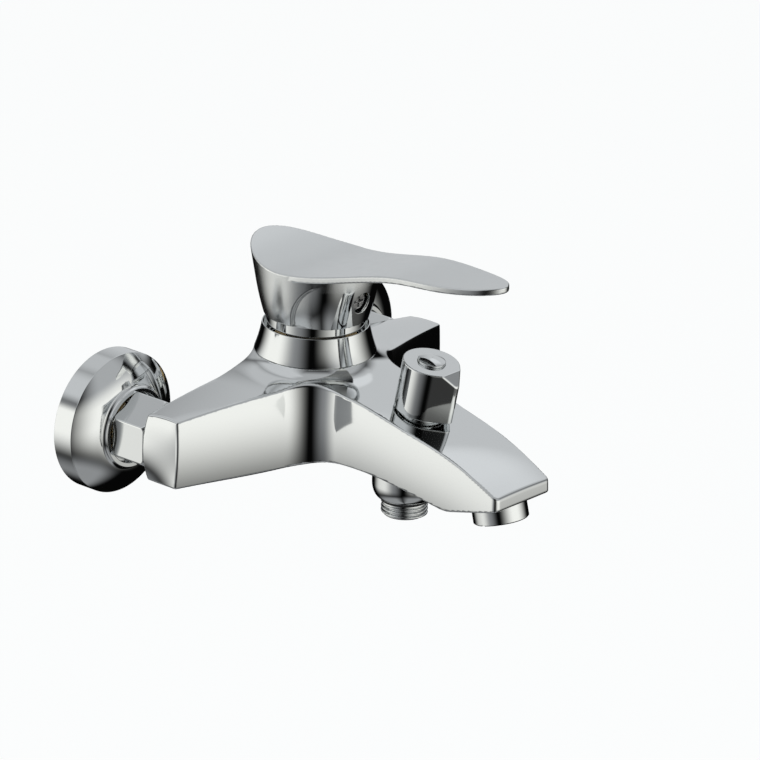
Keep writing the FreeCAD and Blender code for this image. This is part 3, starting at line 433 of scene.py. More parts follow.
class Value:
    """Number inside a shader's node tree; arithmetic on it adds Math nodes."""

    def __init__(self, tree, socket):
        self.tree = tree
        self.socket = socket

    def math(self, operation, *others):
        return self.tree.math(operation, self, *others)

    def __add__(self, other):
        return self.math("ADD", other)

    __radd__ = __add__

    def __sub__(self, other):
        return self.math("SUBTRACT", other)

    def __rsub__(self, other):
        return self.tree.math("SUBTRACT", other, self)

    def __mul__(self, other):
        return self.math("MULTIPLY", other)

    __rmul__ = __mul__

    def __truediv__(self, other):
        return self.math("DIVIDE", other)

    def __rtruediv__(self, other):
        return self.tree.math("DIVIDE", other, self)

    def __neg__(self):
        return self.math("MULTIPLY", -1.0)

    def __abs__(self):
        return self.math("ABSOLUTE")


class Tree:
    """A node tree to build: a material's or world's, emptied, or a node group's own."""

    def __init__(self, owner):
        if isinstance(owner, bpy.types.NodeTree):
            self.tree = owner
            return
        owner.use_nodes = True
        self.tree = owner.node_tree
        self.tree.nodes.clear()

    def node(self, kind, settings=None, **inputs):
        """New node of a type: settings first, then inputs by socket name or place."""
        made = self.tree.nodes.new(kind)
        for name, value in (settings or {}).items():
            setattr(made, name, value)
        for name, value in inputs.items():
            key = int(name[1:]) if name[0] == "_" else name.replace("_", " ")
            self.give(made.inputs[key], value)
        return made

    def give(self, socket, value):
        if isinstance(value, Value):
            value = value.socket
        if isinstance(value, bpy.types.NodeSocket):
            self.tree.links.new(value, socket)
        else:
            socket.default_value = value

    def greater(self, first, second):
        return self.math("MAXIMUM", first, second)

    def math(self, operation, *values):
        made = self.node("ShaderNodeMath", {"operation": operation},
                         **{"_%d" % k: value for k, value in enumerate(values)})
        return Value(self, made.outputs[0])

    def step(self, value, low, high):
        """0 below low and 1 above high, with a soft rise between."""
        made = self.node("ShaderNodeMapRange", {"interpolation_type": "SMOOTHSTEP"},
                         Value=value, From_Min=low, From_Max=high)
        return Value(self, made.outputs["Result"])

    def mix(self, factor, first, second):
        """Colour between two colours."""
        made = self.node("ShaderNodeMix", {"data_type": "RGBA"}, Factor=factor, _6=first, _7=second)
        return made.outputs[2]


def noise(tree, scale, detail=2.0, roughness=0.5):
    """Cloudy value from 0 to 1 over the object, its scale in features to the metre."""
    place = tree.node("ShaderNodeTexCoord").outputs["Object"]
    made = tree.node("ShaderNodeTexNoise", Vector=place, Scale=scale, Detail=detail, Roughness=roughness)
    return Value(tree, made.outputs["Fac"])


def tint(name, share=1.0):
    """Colour chosen in the panel for a finish, or a darker share of it."""
    red, green, blue = getattr(bpy.context.scene.mixer_colours, name)
    return red * share, green * share, blue * share, 1


def polished_metal(tree, colour, roughness, waviness, wave_scale):
    """Metal whose roughness and relief vary a little, as plating over a cast does."""
    smear = noise(tree, wave_scale * 3, 4.0)
    relief = tree.node("ShaderNodeBump", Strength=waviness, Distance=0.0004,
                       Height=noise(tree, wave_scale, 1.0))
    return tree.node("ShaderNodeBsdfPrincipled", Base_Color=tint(colour), Metallic=1.0,
                     Roughness=roughness * (0.7 + 0.6 * smear), Normal=relief.outputs[0])


def chrome_plate(tree):
    return polished_metal(tree, "chrome", 0.06, 0.02, 60.0)


def handle_chrome(tree):
    """Chrome of the handle: softer on its hood and plate than on its ring and column."""
    arch_start, arch_crown, ring_top = (13.0, 15.5), (63.0, 64.5), (45.5, 46.2)
    place = tree.node("ShaderNodeTexCoord").outputs["Object"]
    split = tree.node("ShaderNodeSeparateXYZ", Vector=place)
    y, z = (Value(tree, split.outputs[k]) / MM for k in (1, 2))
    behind_arch = 1 - tree.step(-y - TOWER_DEPTH, *arch_start)
    soft = tree.greater(behind_arch, tree.step(z, *arch_crown)) * tree.step(z, *ring_top)
    return polished_metal(tree, "chrome", 0.055 + 0.16 * soft, 0.02, 60.0)


def bare_brass(tree):
    return polished_metal(tree, "brass", 0.28, 0.2, 400.0)


def stainless_steel(tree):
    return polished_metal(tree, "steel", 0.25, 0.2, 500.0)


def plain_solid(tree, colour, darkest, roughness, scale):
    """Matt or glossy solid whose tone varies over the piece, down to a darker share of its colour."""
    tone = tree.mix(noise(tree, scale, 3.0), tint(colour, darkest), tint(colour))
    return tree.node("ShaderNodeBsdfPrincipled", Base_Color=tone, Roughness=roughness)


def seal_rubber(tree):
    return plain_solid(tree, "rubber", 0.57, 0.7, 900.0)


def ceramic(tree):
    return plain_solid(tree, "ceramic", 0.934, 0.2, 300.0)


def valve_plastic(tree):
    return plain_solid(tree, "plastic", 0.904, 0.45, 300.0)


FINISHES = {shader.__name__: shader for shader in
            (chrome_plate, handle_chrome, bare_brass, stainless_steel, seal_rubber, ceramic, valve_plastic)}


def finish(slot):
    """Material of a slot, made the first time it is asked for."""
    name = "finish_" + slot
    if name not in bpy.data.materials:
        material = bpy.data.materials.new(name)
        tree = Tree(material)
        surface = FINISHES[slot](tree)
        tree.node("ShaderNodeOutputMaterial", Surface=surface.outputs[0])
    return bpy.data.materials[name]


# Sizes and colours that can be changed in the panel

def length(name, default_mm, description):
    return FloatProperty(name=name, default=default_mm * MM, min=0.0, unit="LENGTH", subtype="DISTANCE",
                         precision=5, description=description)


def colour(name, default, description):
    return FloatVectorProperty(name=name, default=default, min=0.0, max=1.0, subtype="COLOR",
                               description=description)


class Colours(bpy.types.PropertyGroup):
    """Colours of the finishes, the lightest tone where one varies."""
    chrome: colour("Chrome", (0.80, 0.815, 0.815), "Colour of the chrome plating")
    brass: colour("Brass", (0.78, 0.58, 0.28), "Colour of the bare brass")
    steel: colour("Steel", (0.60, 0.60, 0.60), "Colour of the stainless steel")
    rubber: colour("Rubber", (0.035, 0.035, 0.037), "Colour of the seals")
    ceramic: colour("Ceramic", (0.92, 0.91, 0.88), "Colour of the ceramic discs")
    plastic: colour("Plastic", (0.84, 0.84, 0.82), "Colour of the plastic in the valves")


class CastBody(bpy.types.PropertyGroup):
    """Outline of the cast body."""
    arm_reach: length("Arm reach", 88.0, "From the middle to an arm's end")
    arm_back: length("Arm back", 38.0, "Depth of the arms' back")
    arm_front: length("Arm front", 55.4, "Depth of the arms' front at their ends")
    shoulder: length("Shoulder", 76.4, "Depth where the arms' fronts would meet the spout's sides")
    shoulder_round: length("Shoulder radius", 21.0, "Radius of the corner between arm and spout")
    root_half: length("Spout root", 22.2, "Half width of the spout at its root")
    tip_half: length("Spout tip", 17.4, "Half width of the spout at its tip")
    reach: length("Reach", 180.0, "Depth of the spout's tip")
    tip_round: length("Tip corners", 1.6, "Radius of the corners at the spout's tip")
    tower_back: length("Tower back", 27.8, "Radius of the tower's back")
    back_hollow: length("Back hollow", 8.0, "Radius of the hollows between the tower's back and the arms")
    neck: length("Neck", 24.5, "Radius of the neck under the shroud, before its flare")
    neck_top: length("Neck top", 28.2, "Height of the neck's top")
    neck_flare: length("Neck flare", 24.0, "Reach of the hollow between neck and body")
    crease: length("Crease", 0.9, "Rounding of the body's long edges")
    belly: length("Belly", 1.1, "How far the front faces bulge between their long edges")
    end_bulge: length("End bulge", 3.1, "How far the arms' ends bulge at their backs")
    crown: length("Crown", 0.7, "Rise of the arms' tops between their edges")
    lean: length("Lean", 1.6, "How much lower the arms' back edge lies than the front one")
    cell: length("Mesh size", 0.76, "Size of the mesh's faces")


class LeverHandle(bpy.types.PropertyGroup):
    """Outline of the lever handle."""
    ring: length("Ring", 22.4, "Radius of the ring at the handle's foot")
    ring_height: length("Ring height", 4.4, "Height of the ring")
    plate: length("Plate", 3.0, "Thickness of the plate")
    edge: length("Plate edge", 0.7, "Rounding of the plate's rim")
    inset: length("Column inset", 2.1, "How far the column's sides lie inside the hood")
    stand_out: length("Column front", 0.8, "How far the column's front stands out of the hood")
    wall: length("Wall", 1.4, "Thickness of the ring's wall")
    cell: length("Mesh size", 0.53, "Size of the mesh's faces")


class Fittings(bpy.types.PropertyGroup):
    """Sizes of the turned pieces, nuts and knob."""
    escutcheon: length("Escutcheon", 32.2, "Radius of the wall escutcheons")
    nut_flats: length("Nut", 30.0, "Width of the union nuts across their flats")
    knob: length("Knob", 12.8, "Radius of the diverter knob")
    pointer: length("Pointer", 16.8, "Reach of the knob's pointer")
    cap: length("Cap", 6.25, "Radius of the cap in the knob")


class Studio(bpy.types.PropertyGroup):
    """Camera and surroundings."""
    floor_drop: length("Floor", 280.0, "How far the floor lies under the supplies' height")
    camera_distance: length("Distance", 3000.0, "From the camera to the middle of the view")
    lens: FloatProperty(name="Lens", default=320.0, min=1.0,
                        description="Focal length in millimetres on a 36 mm sensor")
    aim: FloatVectorProperty(name="Aim", default=(0.00866, -0.08895, 0.01887), subtype="XYZ",
                             unit="LENGTH", description="Middle of the view")
    backdrop: colour("Backdrop", (0.99, 1.0, 1.0), "Colour that the camera sees behind the mixer")
    paint: colour("Floor paint", (0.93, 0.96, 0.97), "Colour of the floor where shadows fall")
    lamp_place: FloatVectorProperty(name="Lamp place", default=(-0.4, -0.5, 2.2), subtype="XYZ",
                                    unit="LENGTH", description="Middle of the lamp")
    lamp_size: length("Lamp size", 1600.0, "Width of the lamp")
    lamp_power: FloatProperty(name="Lamp power", default=26.0, min=0.0, unit="POWER",
                              description="Power of the lamp")


def millimetres(group):
    """A group's lengths in millimetres."""
    sizes = SimpleNamespace()
    for name, prop in group.bl_rna.properties.items():
        if getattr(prop, "unit", "") == "LENGTH" and not getattr(prop, "is_array", False):
            setattr(sizes, name, getattr(group, name) / MM)
    return sizes


# Cast body

ARM_TOP = Curve((0, 23.4), (30, 22.6), (60, 20.3), (98, 15.1))
SPOUT_TOP = Curve((50, 25.2), (74.4, 23.1), (100, 20.3), (127.8, 13.7), (152, 7.6), (168.5, 1.0),
                  (180, -4.8))
SPOUT_UNDER = Curve((50, -16), (60, -16), (70.4, -16), (82.4, -13.5), (100, -11.9), (128, -14.4),
                    (152, -18.3))
HEEL = Curve((152, -18.3), (180, -11.2))
# In names, R is a radius, SPAN is where a change begins and ends, and AT is a depth and a height
ARM_MIDDLE, ARM_HALF, FACE_HALF = 3.0, 15.5, 18.0
SPOUT_CROWN, SPOUT_HALF = 0.5, 22.0
END_BARREL, END_FULLNESS, END_LIMIT = 3.6, 1.4, 1.2
TOPS_EASING, UNDER_EASING, BOWL_FILLET, RIM_ROUND = 6.0, 2.0, 2.0, 0.3
CROWN_SPAN, FACE_SPAN, BELLY_SPAN = (26, 46), (72, 96), (42, 56)
COLLAR_R, COLLAR_FOOT, COLLAR_TOP = 21.0, 20.0, 33.4
WELL_R, WELL_FLOOR = 17.8, 8.0
INLET_R, INLET_END = 9.65, 49.0
OUTLET_DEPTH, OUTLET_R, OUTLET_END = 112.8, 8.45, -18.4
BOWL_TOP, BOWL_TURN, BOWL_FOOT = -8.0, -20.0, -27.4
BOWL_INNER_R, BOWL_ROUND, BOWL_SQUASH = 10.5, 4.2, 0.57
DIVERTER_AT, DIVERTER_LEAN = (121.3, 15.4), 11.0
DIVERTER_R, DIVERTER_END, BONNET_R = 8.65, -14.2, 10.75
AERATOR_AT, AERATOR_LEAN = (167.0, -14.5), -14.2
AERATOR_R, AERATOR_END = 11.65, 7.2


def body_plan(s):
    """Plan outline of the body: arms run on past their ends, spout and the tower's round back."""
    hollow, past = s.back_hollow, 8.0
    apart = TOWER_DEPTH - s.arm_back + hollow
    side = math.sqrt((s.tower_back + hollow) ** 2 - apart ** 2)
    turn = math.atan2(side, apart)
    back = [(s.tower_back * math.sin(a), TOWER_DEPTH - s.tower_back * math.cos(a), 0)
            for a in np.linspace(0, turn, 24)]
    back += [(side - hollow * math.sin(a), s.arm_back - hollow * (1 - math.cos(a)), 0)
             for a in np.linspace(turn, 0, 12)[1:]]
    front = s.arm_front - past * (s.shoulder - s.arm_front) / (s.arm_reach - s.root_half)
    right = back + [(s.arm_reach + past, s.arm_back, 0), (s.arm_reach + past, front, 0),
                    (s.root_half, s.shoulder, s.shoulder_round), (s.tip_half, s.reach, s.tip_round)]
    left = [(-x, depth, radius) for x, depth, radius in reversed(right[1:])]
    return Plan(rounded_outline(right + left, 0.25))


def body_field(s):
    """Distance field of the casting with its well and bores."""
    plan = body_plan(s)

    def field(x, y, z):
        depth = -y
        across = np.abs(x)
        from_tower = np.hypot(x, depth - TOWER_DEPTH)
        narrowing = (s.shoulder - s.arm_front) / (s.arm_reach - s.root_half)
        front = s.arm_front + narrowing * (s.arm_reach - across)
        share = np.clip((depth - s.arm_back) / (front - s.arm_back), 0, 1)
        rise = s.crown * 4 * share * (1 - share) - s.lean * (1 - share)
        rise = rise * eased_step(across, *CROWN_SPAN)
        arms = below(ARM_TOP, across, z - rise)
        spout = below(SPOUT_TOP, depth, z - SPOUT_CROWN * (1 - (across / SPOUT_HALF) ** 2))
        top = eased_max(arms, spout, TOPS_EASING)
        top = -eased_max(-top, s.neck - from_tower, s.neck_flare)
        top = rounded_max(top, z - s.neck_top, RIM_ROUND)
        under = eased_max(-below(SPOUT_UNDER, depth, z), -below(HEEL, depth, z), UNDER_EASING)
        spout_middle = (SPOUT_TOP(depth) + SPOUT_UNDER(depth)) / 2
        face_middle = ARM_MIDDLE + (spout_middle - ARM_MIDDLE) * eased_step(depth, *FACE_SPAN)
        belly = s.belly * (1 - ((z - face_middle) / FACE_HALF) ** 2) * eased_step(depth, *BELLY_SPAN)
        back = np.clip((front - depth) / (s.arm_front - s.arm_back), 0, END_LIMIT)
        back = back * (END_FULLNESS - (END_FULLNESS - 1) * back)
        end = across - s.arm_reach - back * (s.end_bulge - END_BARREL * (z / ARM_HALF) ** 2)
        sides = rounded_max(plan(x, depth) - belly, end, s.crease)
        body = rounded_max(sides, rounded_max(top, under, s.crease), s.crease)
        body = rounded_min(body, outlet_boss(x, depth, z), BOWL_FILLET)
        collar = np.maximum(from_tower - COLLAR_R, np.maximum(z - COLLAR_TOP, COLLAR_FOOT - z))
        body = np.minimum(body, collar)
        for cut in body_cuts(x, depth, z):
            body = np.maximum(body, -cut)
        return body
    return field


def outlet_boss(x, depth, z):
    """Field of the bowl under the spout that the shower outlet is screwed into."""
    beyond = np.maximum(np.hypot(x, depth - OUTLET_DEPTH) - BOWL_INNER_R, 0)
    bowl = np.hypot(beyond, np.maximum(BOWL_TURN - z, 0) * BOWL_SQUASH) - BOWL_ROUND
    return np.maximum(rounded_max(bowl, BOWL_FOOT - z, RIM_ROUND), z - BOWL_TOP)


def body_cuts(x, depth, z):
    """Fields of the cartridge's well and the bores for nipples, diverter and aerator."""
    beside, diverter_up = leaned(depth - DIVERTER_AT[0], z - DIVERTER_AT[1], DIVERTER_LEAN)
    diverter = np.hypot(x, beside)
    beside, aerator_up = leaned(depth - AERATOR_AT[0], z - AERATOR_AT[1], AERATOR_LEAN)
    aerator = np.hypot(x, beside)
    return (
        np.maximum(np.hypot(x, depth - TOWER_DEPTH) - WELL_R, WELL_FLOOR - z),
        np.maximum(np.hypot(np.abs(x) - SUPPLY_X, z) - INLET_R, depth - INLET_END),
        np.maximum(np.hypot(x, depth - OUTLET_DEPTH) - OUTLET_R, z - OUTLET_END),
        np.maximum(diverter - DIVERTER_R, DIVERTER_END - diverter_up),
        np.maximum(diverter - BONNET_R, -diverter_up),
        np.maximum(aerator - AERATOR_R, aerator_up - AERATOR_END),
    )


def build_body(s):
    high = (s.arm_reach + 5, -25.0, 34.0)
    low = (-high[0], -s.reach - 1, -28.5)
    skin = skin_of(body_field(s), low, high, s.cell)
    add_piece("body_casting", skin, "body", "chrome_plate", "mixer_body")


# Lever handle, about the tower's axis with the ring's foot at height 0

HANDLE_FOOT = 41.3
LEVER_TOP = Curve((-39.3, 38.2), (-18.6, 30.9), (3.0, 29.1), (35.6, 35.1), (60.0, 40.3), (82.0, 41.7),
                  (115.0, 45.1))
HOOD_SIDE = Curve((4.4, 23.7), (8.7, 24.7), (15.7, 25.5), (23.7, 25.9), (30.7, 26.2), (38.7, 26.4))
HOOD_BACK = Curve((4.4, 23.3), (8.7, 24.8), (15.7, 27.4), (23.7, 29.9), (30.7, 32.0), (38.7, 34.2))
HOOD_FRONT = Curve((4.4, 23.7), (8.7, 24.7), (15.7, 26.3), (23.7, 27.6), (30.7, 28.1), (38.7, 28.3))
PLATE_RIM = ((-33.3, 0), (-28.5, 13.2), (-18.6, 21.5), (-8.5, 24.8), (3.0, 25.7), (18.0, 23.9), (35.6, 21.0),
             (60.0, 17.8), (82.0, 15.4), (96.0, 11.6), (105.5, 6.2), (109.0, 0))
# How far a point of the hood faces forward, of 1, where its section is all the front's
HOOD_FACING = 0.8065
ARCH_CENTRE, ARCH_REACH, ARCH_RISE = (25.0, 4.0), 19.2, 22.6
# Behind, the plate ends at the hood's sides; coming forward it stands out of them by RIM_SPREAD
RIM_END, RIM_SPREAD, RIM_SPAN, INSET_SPAN = 15.0, 2.0, (-12, 16), (6, 24)
SLAB_ROUND, ARCH_ROUND, FOOT_ROUND, COLUMN_FILLET, SHELL_FILLET = 0.5, 0.6, 0.3, 0.5, 0.4
RING_OVERLAP = 0.4
PIVOT_RISE, REST_LEAN = 5.7, 8.5
SCREW_RISE, SCREW_BORE_R = 13.4, 2.55
SCREW_HOLE_R, SCREW_HOLE_END, SCREW_RIB_R = 4.9, 19.0, 5.8
CAVITY_TOP, CONE_FOOT, CONE_SLOPE = 22.7, 18.7, 2 / 1.2
BOSS_R, BOSS_FOOT, SOCKET_HALF, SOCKET_TOP = 9.4, 7.6, 4.05, 18.35


def handle_field(s):
    """Distance field of the handle: plate, hood cut by the arch, column, ring and hollow."""
    right = [(half, reach) for reach, half in PLATE_RIM]
    left = [(-half, reach) for reach, half in reversed(PLATE_RIM[1:-1])]
    outline = Plan(closed_spline(right + left, 0.25))

    def hood(x, reach, h):
        radius = np.hypot(x, reach)
        facing = reach / np.maximum(radius, TINY)
        share = eased_step(facing, -HOOD_FACING, HOOD_FACING)
        length_wise = HOOD_BACK(h) * (1 - share) + HOOD_FRONT(h) * share
        edge = 1 / np.sqrt(facing ** 2 / length_wise ** 2 + (1 - facing ** 2) / HOOD_SIDE(h) ** 2)
        return radius - edge

    def field(x, y, z):
        reach = -y - TOWER_DEPTH
        h = z - HANDLE_FOOT
        top = below(LEVER_TOP, reach, h)
        slab = rounded_max(top, -top - s.plate, SLAB_ROUND)
        skirt = hood(x, reach, h)
        rim = outline(x, reach)
        held = np.maximum(rim, skirt - RIM_SPREAD * eased_step(reach, *RIM_SPAN))
        plate = rounded_max(np.where(reach < RIM_END, held, rim), slab, s.edge)
        under = top + s.plate / 2
        share = np.hypot((reach - ARCH_CENTRE[0]) / ARCH_REACH, (h - ARCH_CENTRE[1]) / ARCH_RISE)
        arch = (1 - share) * (ARCH_REACH + ARCH_RISE) / 2
        ends = rounded_max(top, s.ring_height - h, FOOT_ROUND)
        shell = rounded_max(rounded_max(skirt, arch, ARCH_ROUND), ends, s.edge)
        inset = s.inset - (s.inset + s.stand_out) * eased_step(reach, *INSET_SPAN)
        column = np.maximum(skirt + inset, np.maximum(under, s.ring_height - RING_OVERLAP - h))
        body = np.minimum(rounded_min(plate, column, COLUMN_FILLET),
                          rounded_min(shell, column, SHELL_FILLET))
        along, over = leaned(reach, h - PIVOT_RISE, REST_LEAN)
        from_screw = np.hypot(x, over - SCREW_RISE)
        hole = np.maximum(from_screw - SCREW_HOLE_R, SCREW_HOLE_END - along)
        inner = np.hypot(x, reach) - (s.ring - s.wall) + np.maximum(h - CONE_FOOT, 0) * CONE_SLOPE
        boss = np.maximum(np.hypot(x, along) - BOSS_R, BOSS_FOOT - over)
        rib = np.maximum(from_screw - SCREW_RIB_R, np.maximum(along - SCREW_HOLE_END, -along))
        cavity = np.maximum(np.maximum(inner, h - CAVITY_TOP), -np.minimum(boss, rib))
        socket = np.maximum(np.maximum(np.abs(x), np.abs(along)) - SOCKET_HALF, over - SOCKET_TOP)
        for cut in (hole, cavity, socket, np.maximum(from_screw - SCREW_BORE_R, -along)):
            body = np.maximum(body, -cut)
        return body
    return field


def build_handle(s):
    low = (-27.0, -TOWER_DEPTH - 110.0, HANDLE_FOOT - 0.5)
    high = (27.0, -TOWER_DEPTH + 34.5, HANDLE_FOOT + 45.0)
    skin = skin_of(handle_field(s), low, high, s.cell)
    inside, top = s.ring - s.wall, HANDLE_FOOT + s.ring_height
    steps = [(inside, HANDLE_FOOT), (s.ring, HANDLE_FOOT), (s.ring, top - 0.15), (s.ring - 0.5, top),
             (inside, top)]
    ring = turned_skin(steps, standing(TOWER_DEPTH, 0), 0.2)
    add_piece("handle_casting", joined(skin, ring), "lever", "chrome_plate", "lever_handle",
              look="handle_chrome")


# Turned pieces

def build_shroud():
    steps = [(21.05, 28.4), (27.4, 28.4), ((25.6, 34.0), (24.1, 41.0)), (23.65, 41.0), (23.4, 38.0),
             (23.2, 33.0), (21.05, 33.0)]
    skin = turned_skin(steps, standing(TOWER_DEPTH, 0), 0.2)
    add_piece("shroud_shell", skin, "body", "chrome_plate", "cartridge_shroud")


def build_escutcheons(s):
    r = s.escutcheon
    steps = [(30.9, 0), (r, 0), (r, 10.2), ((26.6, 14.2), (19.9, 17.0)), ((18.7, 17.8), (18.2, 19.2)),
             (16.2, 19.2), (16.2, 17.0), (13.3, 17.0), (13.3, 12.0), (16.3, 12.0), (18.4, 14.7),
             ((26.1, 12.7), (30.9, 9.5))]
    skin = turned_skin(steps, standing(0, 0, 90), 0.25)
    add_pair("_wall_cover", skin, "chrome_plate", "_escutcheon")


def build_nuts(s):
    back, shoulder, front = 19.3, 35.1, 37.7
    corner, thread_r, tail_r = s.nut_flats / math.sqrt(3), 13.27, 9.65
    chamfer_cut, chamfer_slope = 0.9, 0.6

    def field(x, y, z):
        flats = np.abs(x) - s.nut_flats / 2
        for turn in (math.pi / 3, -math.pi / 3):
            flat = np.abs(x * math.cos(turn) + z * math.sin(turn)) - s.nut_flats / 2
            flats = rounded_max(flats, flat, 0.35)
        radius = np.hypot(x, z)
        depth = -y
        past_end = np.maximum(depth - front, back - depth)
        chamfer = (radius - corner + chamfer_cut + chamfer_slope * past_end) / math.hypot(1, chamfer_slope)
        nut = rounded_max(flats, rounded_max(back - depth, depth - front, 0.2), 0.25)
        nut = rounded_max(nut, chamfer, 0.2)
        return np.maximum(nut, np.where(depth < shoulder, thread_r, tail_r) - radius)

    skin = skin_of(field, (-18, -front, -18), (18, -back, 18), 0.5)
    add_pair("_nut", skin, "chrome_plate", "_union_nut")


# Threads

HALF_INCH_R, HALF_INCH_PITCH, HALF_INCH_DEPTH = 10.48, 1.814, 0.95


def thread_tree():
    """Nodes of a thread: a rounded ridge swept up a spiral, copied along a line."""
    group = bpy.data.node_groups.new("thread_ridge", "GeometryNodeTree")
    numbers = ("Radius", "Ridge", "Height", "Turns", "Copies", "Spacing")
    for name in numbers:
        kind = "NodeSocketInt" if name == "Copies" else "NodeSocketFloat"
        group.interface.new_socket(name=name, in_out="INPUT", socket_type=kind)
    group.interface.new_socket(name="Finish", in_out="INPUT", socket_type="NodeSocketMaterial")
    group.interface.new_socket(name="Geometry", in_out="OUTPUT", socket_type="NodeSocketGeometry")
    tree = Tree(group)
    given = tree.node("NodeGroupInput").outputs
    size = {name: Value(tree, given[name]) for name in numbers}
    spiral = tree.node("GeometryNodeCurveSpiral", Resolution=72, Rotations=size["Turns"],
                       Start_Radius=size["Radius"], End_Radius=size["Radius"], Height=size["Height"])
    upright = tree.node("GeometryNodeSetCurveNormal", {"mode": "Z_UP"}, Curve=spiral.outputs[0])
    profile = tree.node("GeometryNodeCurvePrimitiveCircle", Resolution=12, Radius=size["Ridge"])
    ridge = tree.node("GeometryNodeCurveToMesh", Curve=upright.outputs[0], Profile_Curve=profile.outputs[0],
                      Fill_Caps=True)
    first = tree.node("ShaderNodeCombineXYZ", X=size["Spacing"] * (1 - size["Copies"]) / 2)
    apart = tree.node("ShaderNodeCombineXYZ", X=size["Spacing"])
    line = tree.node("GeometryNodeMeshLine", Count=size["Copies"], Start_Location=first.outputs[0],
                     Offset=apart.outputs[0])
    copies = tree.node("GeometryNodeInstanceOnPoints", Points=line.outputs[0], Instance=ridge.outputs[0])
    real = tree.node("GeometryNodeRealizeInstances", Geometry=copies.outputs[0])
    finished = tree.node("GeometryNodeSetMaterial", Geometry=real.outputs[0], Material=given["Finish"])
    tree.node("NodeGroupOutput", Geometry=finished.outputs[0])
    return group


def build_thread(name, slot, move, turns, copies=1, spacing=0.0):
    """Thread of the half-inch size, moved by a matrix in millimetres."""
    mesh = bpy.data.meshes.new(name)
    piece = bpy.data.objects.new(name, mesh)
    bpy.context.scene.collection.objects.link(piece)
    modifier = piece.modifiers.new("thread", "NODES")
    modifier.node_group = bpy.data.node_groups.get("thread_ridge") or thread_tree()
    ridge = HALF_INCH_DEPTH * 0.6
    values = {"Radius": (HALF_INCH_R - ridge) * MM, "Ridge": ridge * MM, "Turns": turns,
              "Height": turns * HALF_INCH_PITCH * MM, "Copies": copies, "Spacing": spacing * MM,
              "Finish": finish(slot)}
    for socket in modifier.node_group.interface.items_tree:
        if socket.in_out == "INPUT":
            modifier[socket.identifier] = values[socket.name]
    evaluated = piece.evaluated_get(bpy.context.evaluated_depsgraph_get())
    made = bpy.data.meshes.new_from_object(evaluated)
    piece.modifiers.remove(modifier)
    metres = move.copy()
    metres.translation *= MM
    made.transform(metres)
    shape = bmesh.new()
    shape.from_mesh(made)
    bmesh.ops.recalc_face_normals(shape, faces=shape.faces)
    shape.to_mesh(made)
    shape.free()
    made.polygons.foreach_set("use_smooth", np.ones(len(made.polygons), bool))
    piece.data = made
    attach(piece, "body")


def build_outlet():
    core = HALF_INCH_R - HALF_INCH_DEPTH
    steps = [(6.0, -35.3), (core - 0.5, -35.3), (core, -34.8), (core, -29.7), (HALF_INCH_R, -29.3),
             (HALF_INCH_R, -28.6), (8.4, -28.6), (8.4, OUTLET_END), (6.0, OUTLET_END)]
    skin = turned_skin(steps, standing(OUTLET_DEPTH, 0), 0.15, 96)
    add_piece("outlet_tail", skin, "body", "chrome_plate", "shower_outlet_nipple")
    build_thread("outlet_thread", "chrome_plate", standing(OUTLET_DEPTH, -34.6), 2.6)


def build_unions():
    """S-shaped unions and the thread of the ends that go into the wall."""
    core, drop = HALF_INCH_R - HALF_INCH_DEPTH, 5.0
    boss_r, boss_back, boss_front, boss_taper = 12.1, 1.0, 7.5, 6.0
    low_bore, low_bore_end, high_bore, high_bore_end = 7.0, 5.0, 9.0, 4.0
    high_r, wall_end, mixer_end, overlap = 13.1, -16.0, 28.5, 1.0

    def field(x, y, z):
        depth = -y
        from_low, from_high = np.hypot(x, z + drop), np.hypot(x, z)
        low_end = np.maximum(wall_end - depth, depth - boss_back - overlap)
        low_end = rounded_max(from_low - core, low_end, 0.6)
        share = np.clip((depth - boss_back) / boss_taper, 0, 1)
        boss = np.hypot(x, z + drop * (1 - share)) - (boss_r + share)
        boss = rounded_max(boss, np.maximum(boss_back - depth, depth - boss_front), 0.4)
        high_end = np.maximum(boss_front - overlap - depth, depth - mixer_end)
        high_end = rounded_max(from_high - high_r, high_end, 0.5)
        low_way = np.maximum(from_low - low_bore, depth - low_bore_end)
        high_way = np.maximum(from_high - high_bore, high_bore_end - depth)
        body = np.minimum(np.minimum(low_end, boss), high_end)
        return np.maximum(body, -np.minimum(low_way, high_way))

    skin = skin_of(field, (-14, -mixer_end, -18), (14, -wall_end, 14), 0.6)
    add_pair("_union", skin, "bare_brass", "_eccentric_union")
    into_wall = standing(-1.2, -drop, 90) @ Matrix.Translation((0, 0, -14.4))
    build_thread("wall_threads", "bare_brass", into_wall, 7.9, 2, 2 * SUPPLY_X)


def build_screw():
    """Crosshead grub screw of the handle, made about the pivot and leaned with the spindle."""
    shank_r, foot, head_r, head_back, front = 2.5, 4.1, 3.9, 19.0, 23.2
    slot_half, slot_reach, slot_depth, cross_r, overlap = 0.55, 2.9, 1.6, 1.25, 0.5

    def field(x, y, z):
        along, up = -y, z - SCREW_RISE
        radius = np.hypot(x, up)
        shank = np.maximum(foot - along, along - head_back - overlap)
        shank = rounded_max(radius - shank_r, shank, 0.1)
        head = rounded_max(radius - head_r, np.maximum(head_back - along, along - front), 0.4)
        cross = np.minimum(np.maximum(np.abs(x) - slot_half, np.abs(up) - slot_reach),
                           np.maximum(np.abs(up) - slot_half, np.abs(x) - slot_reach))
        recess = np.maximum(np.minimum(cross, radius - cross_r), front - slot_depth - along)
        return rounded_max(np.minimum(shank, head), -recess, 0.15)

    skin = skin_of(field, (-4, -front, SCREW_RISE - 4), (4, -4, SCREW_RISE + 4), 0.25)
    skin = placed(skin, standing(TOWER_DEPTH, HANDLE_FOOT + PIVOT_RISE, REST_LEAN))
    add_piece("grub_screw", skin, "lever", "stainless_steel", "handle_set_screw")


# Diverter knob and cap, about the diverter's axis

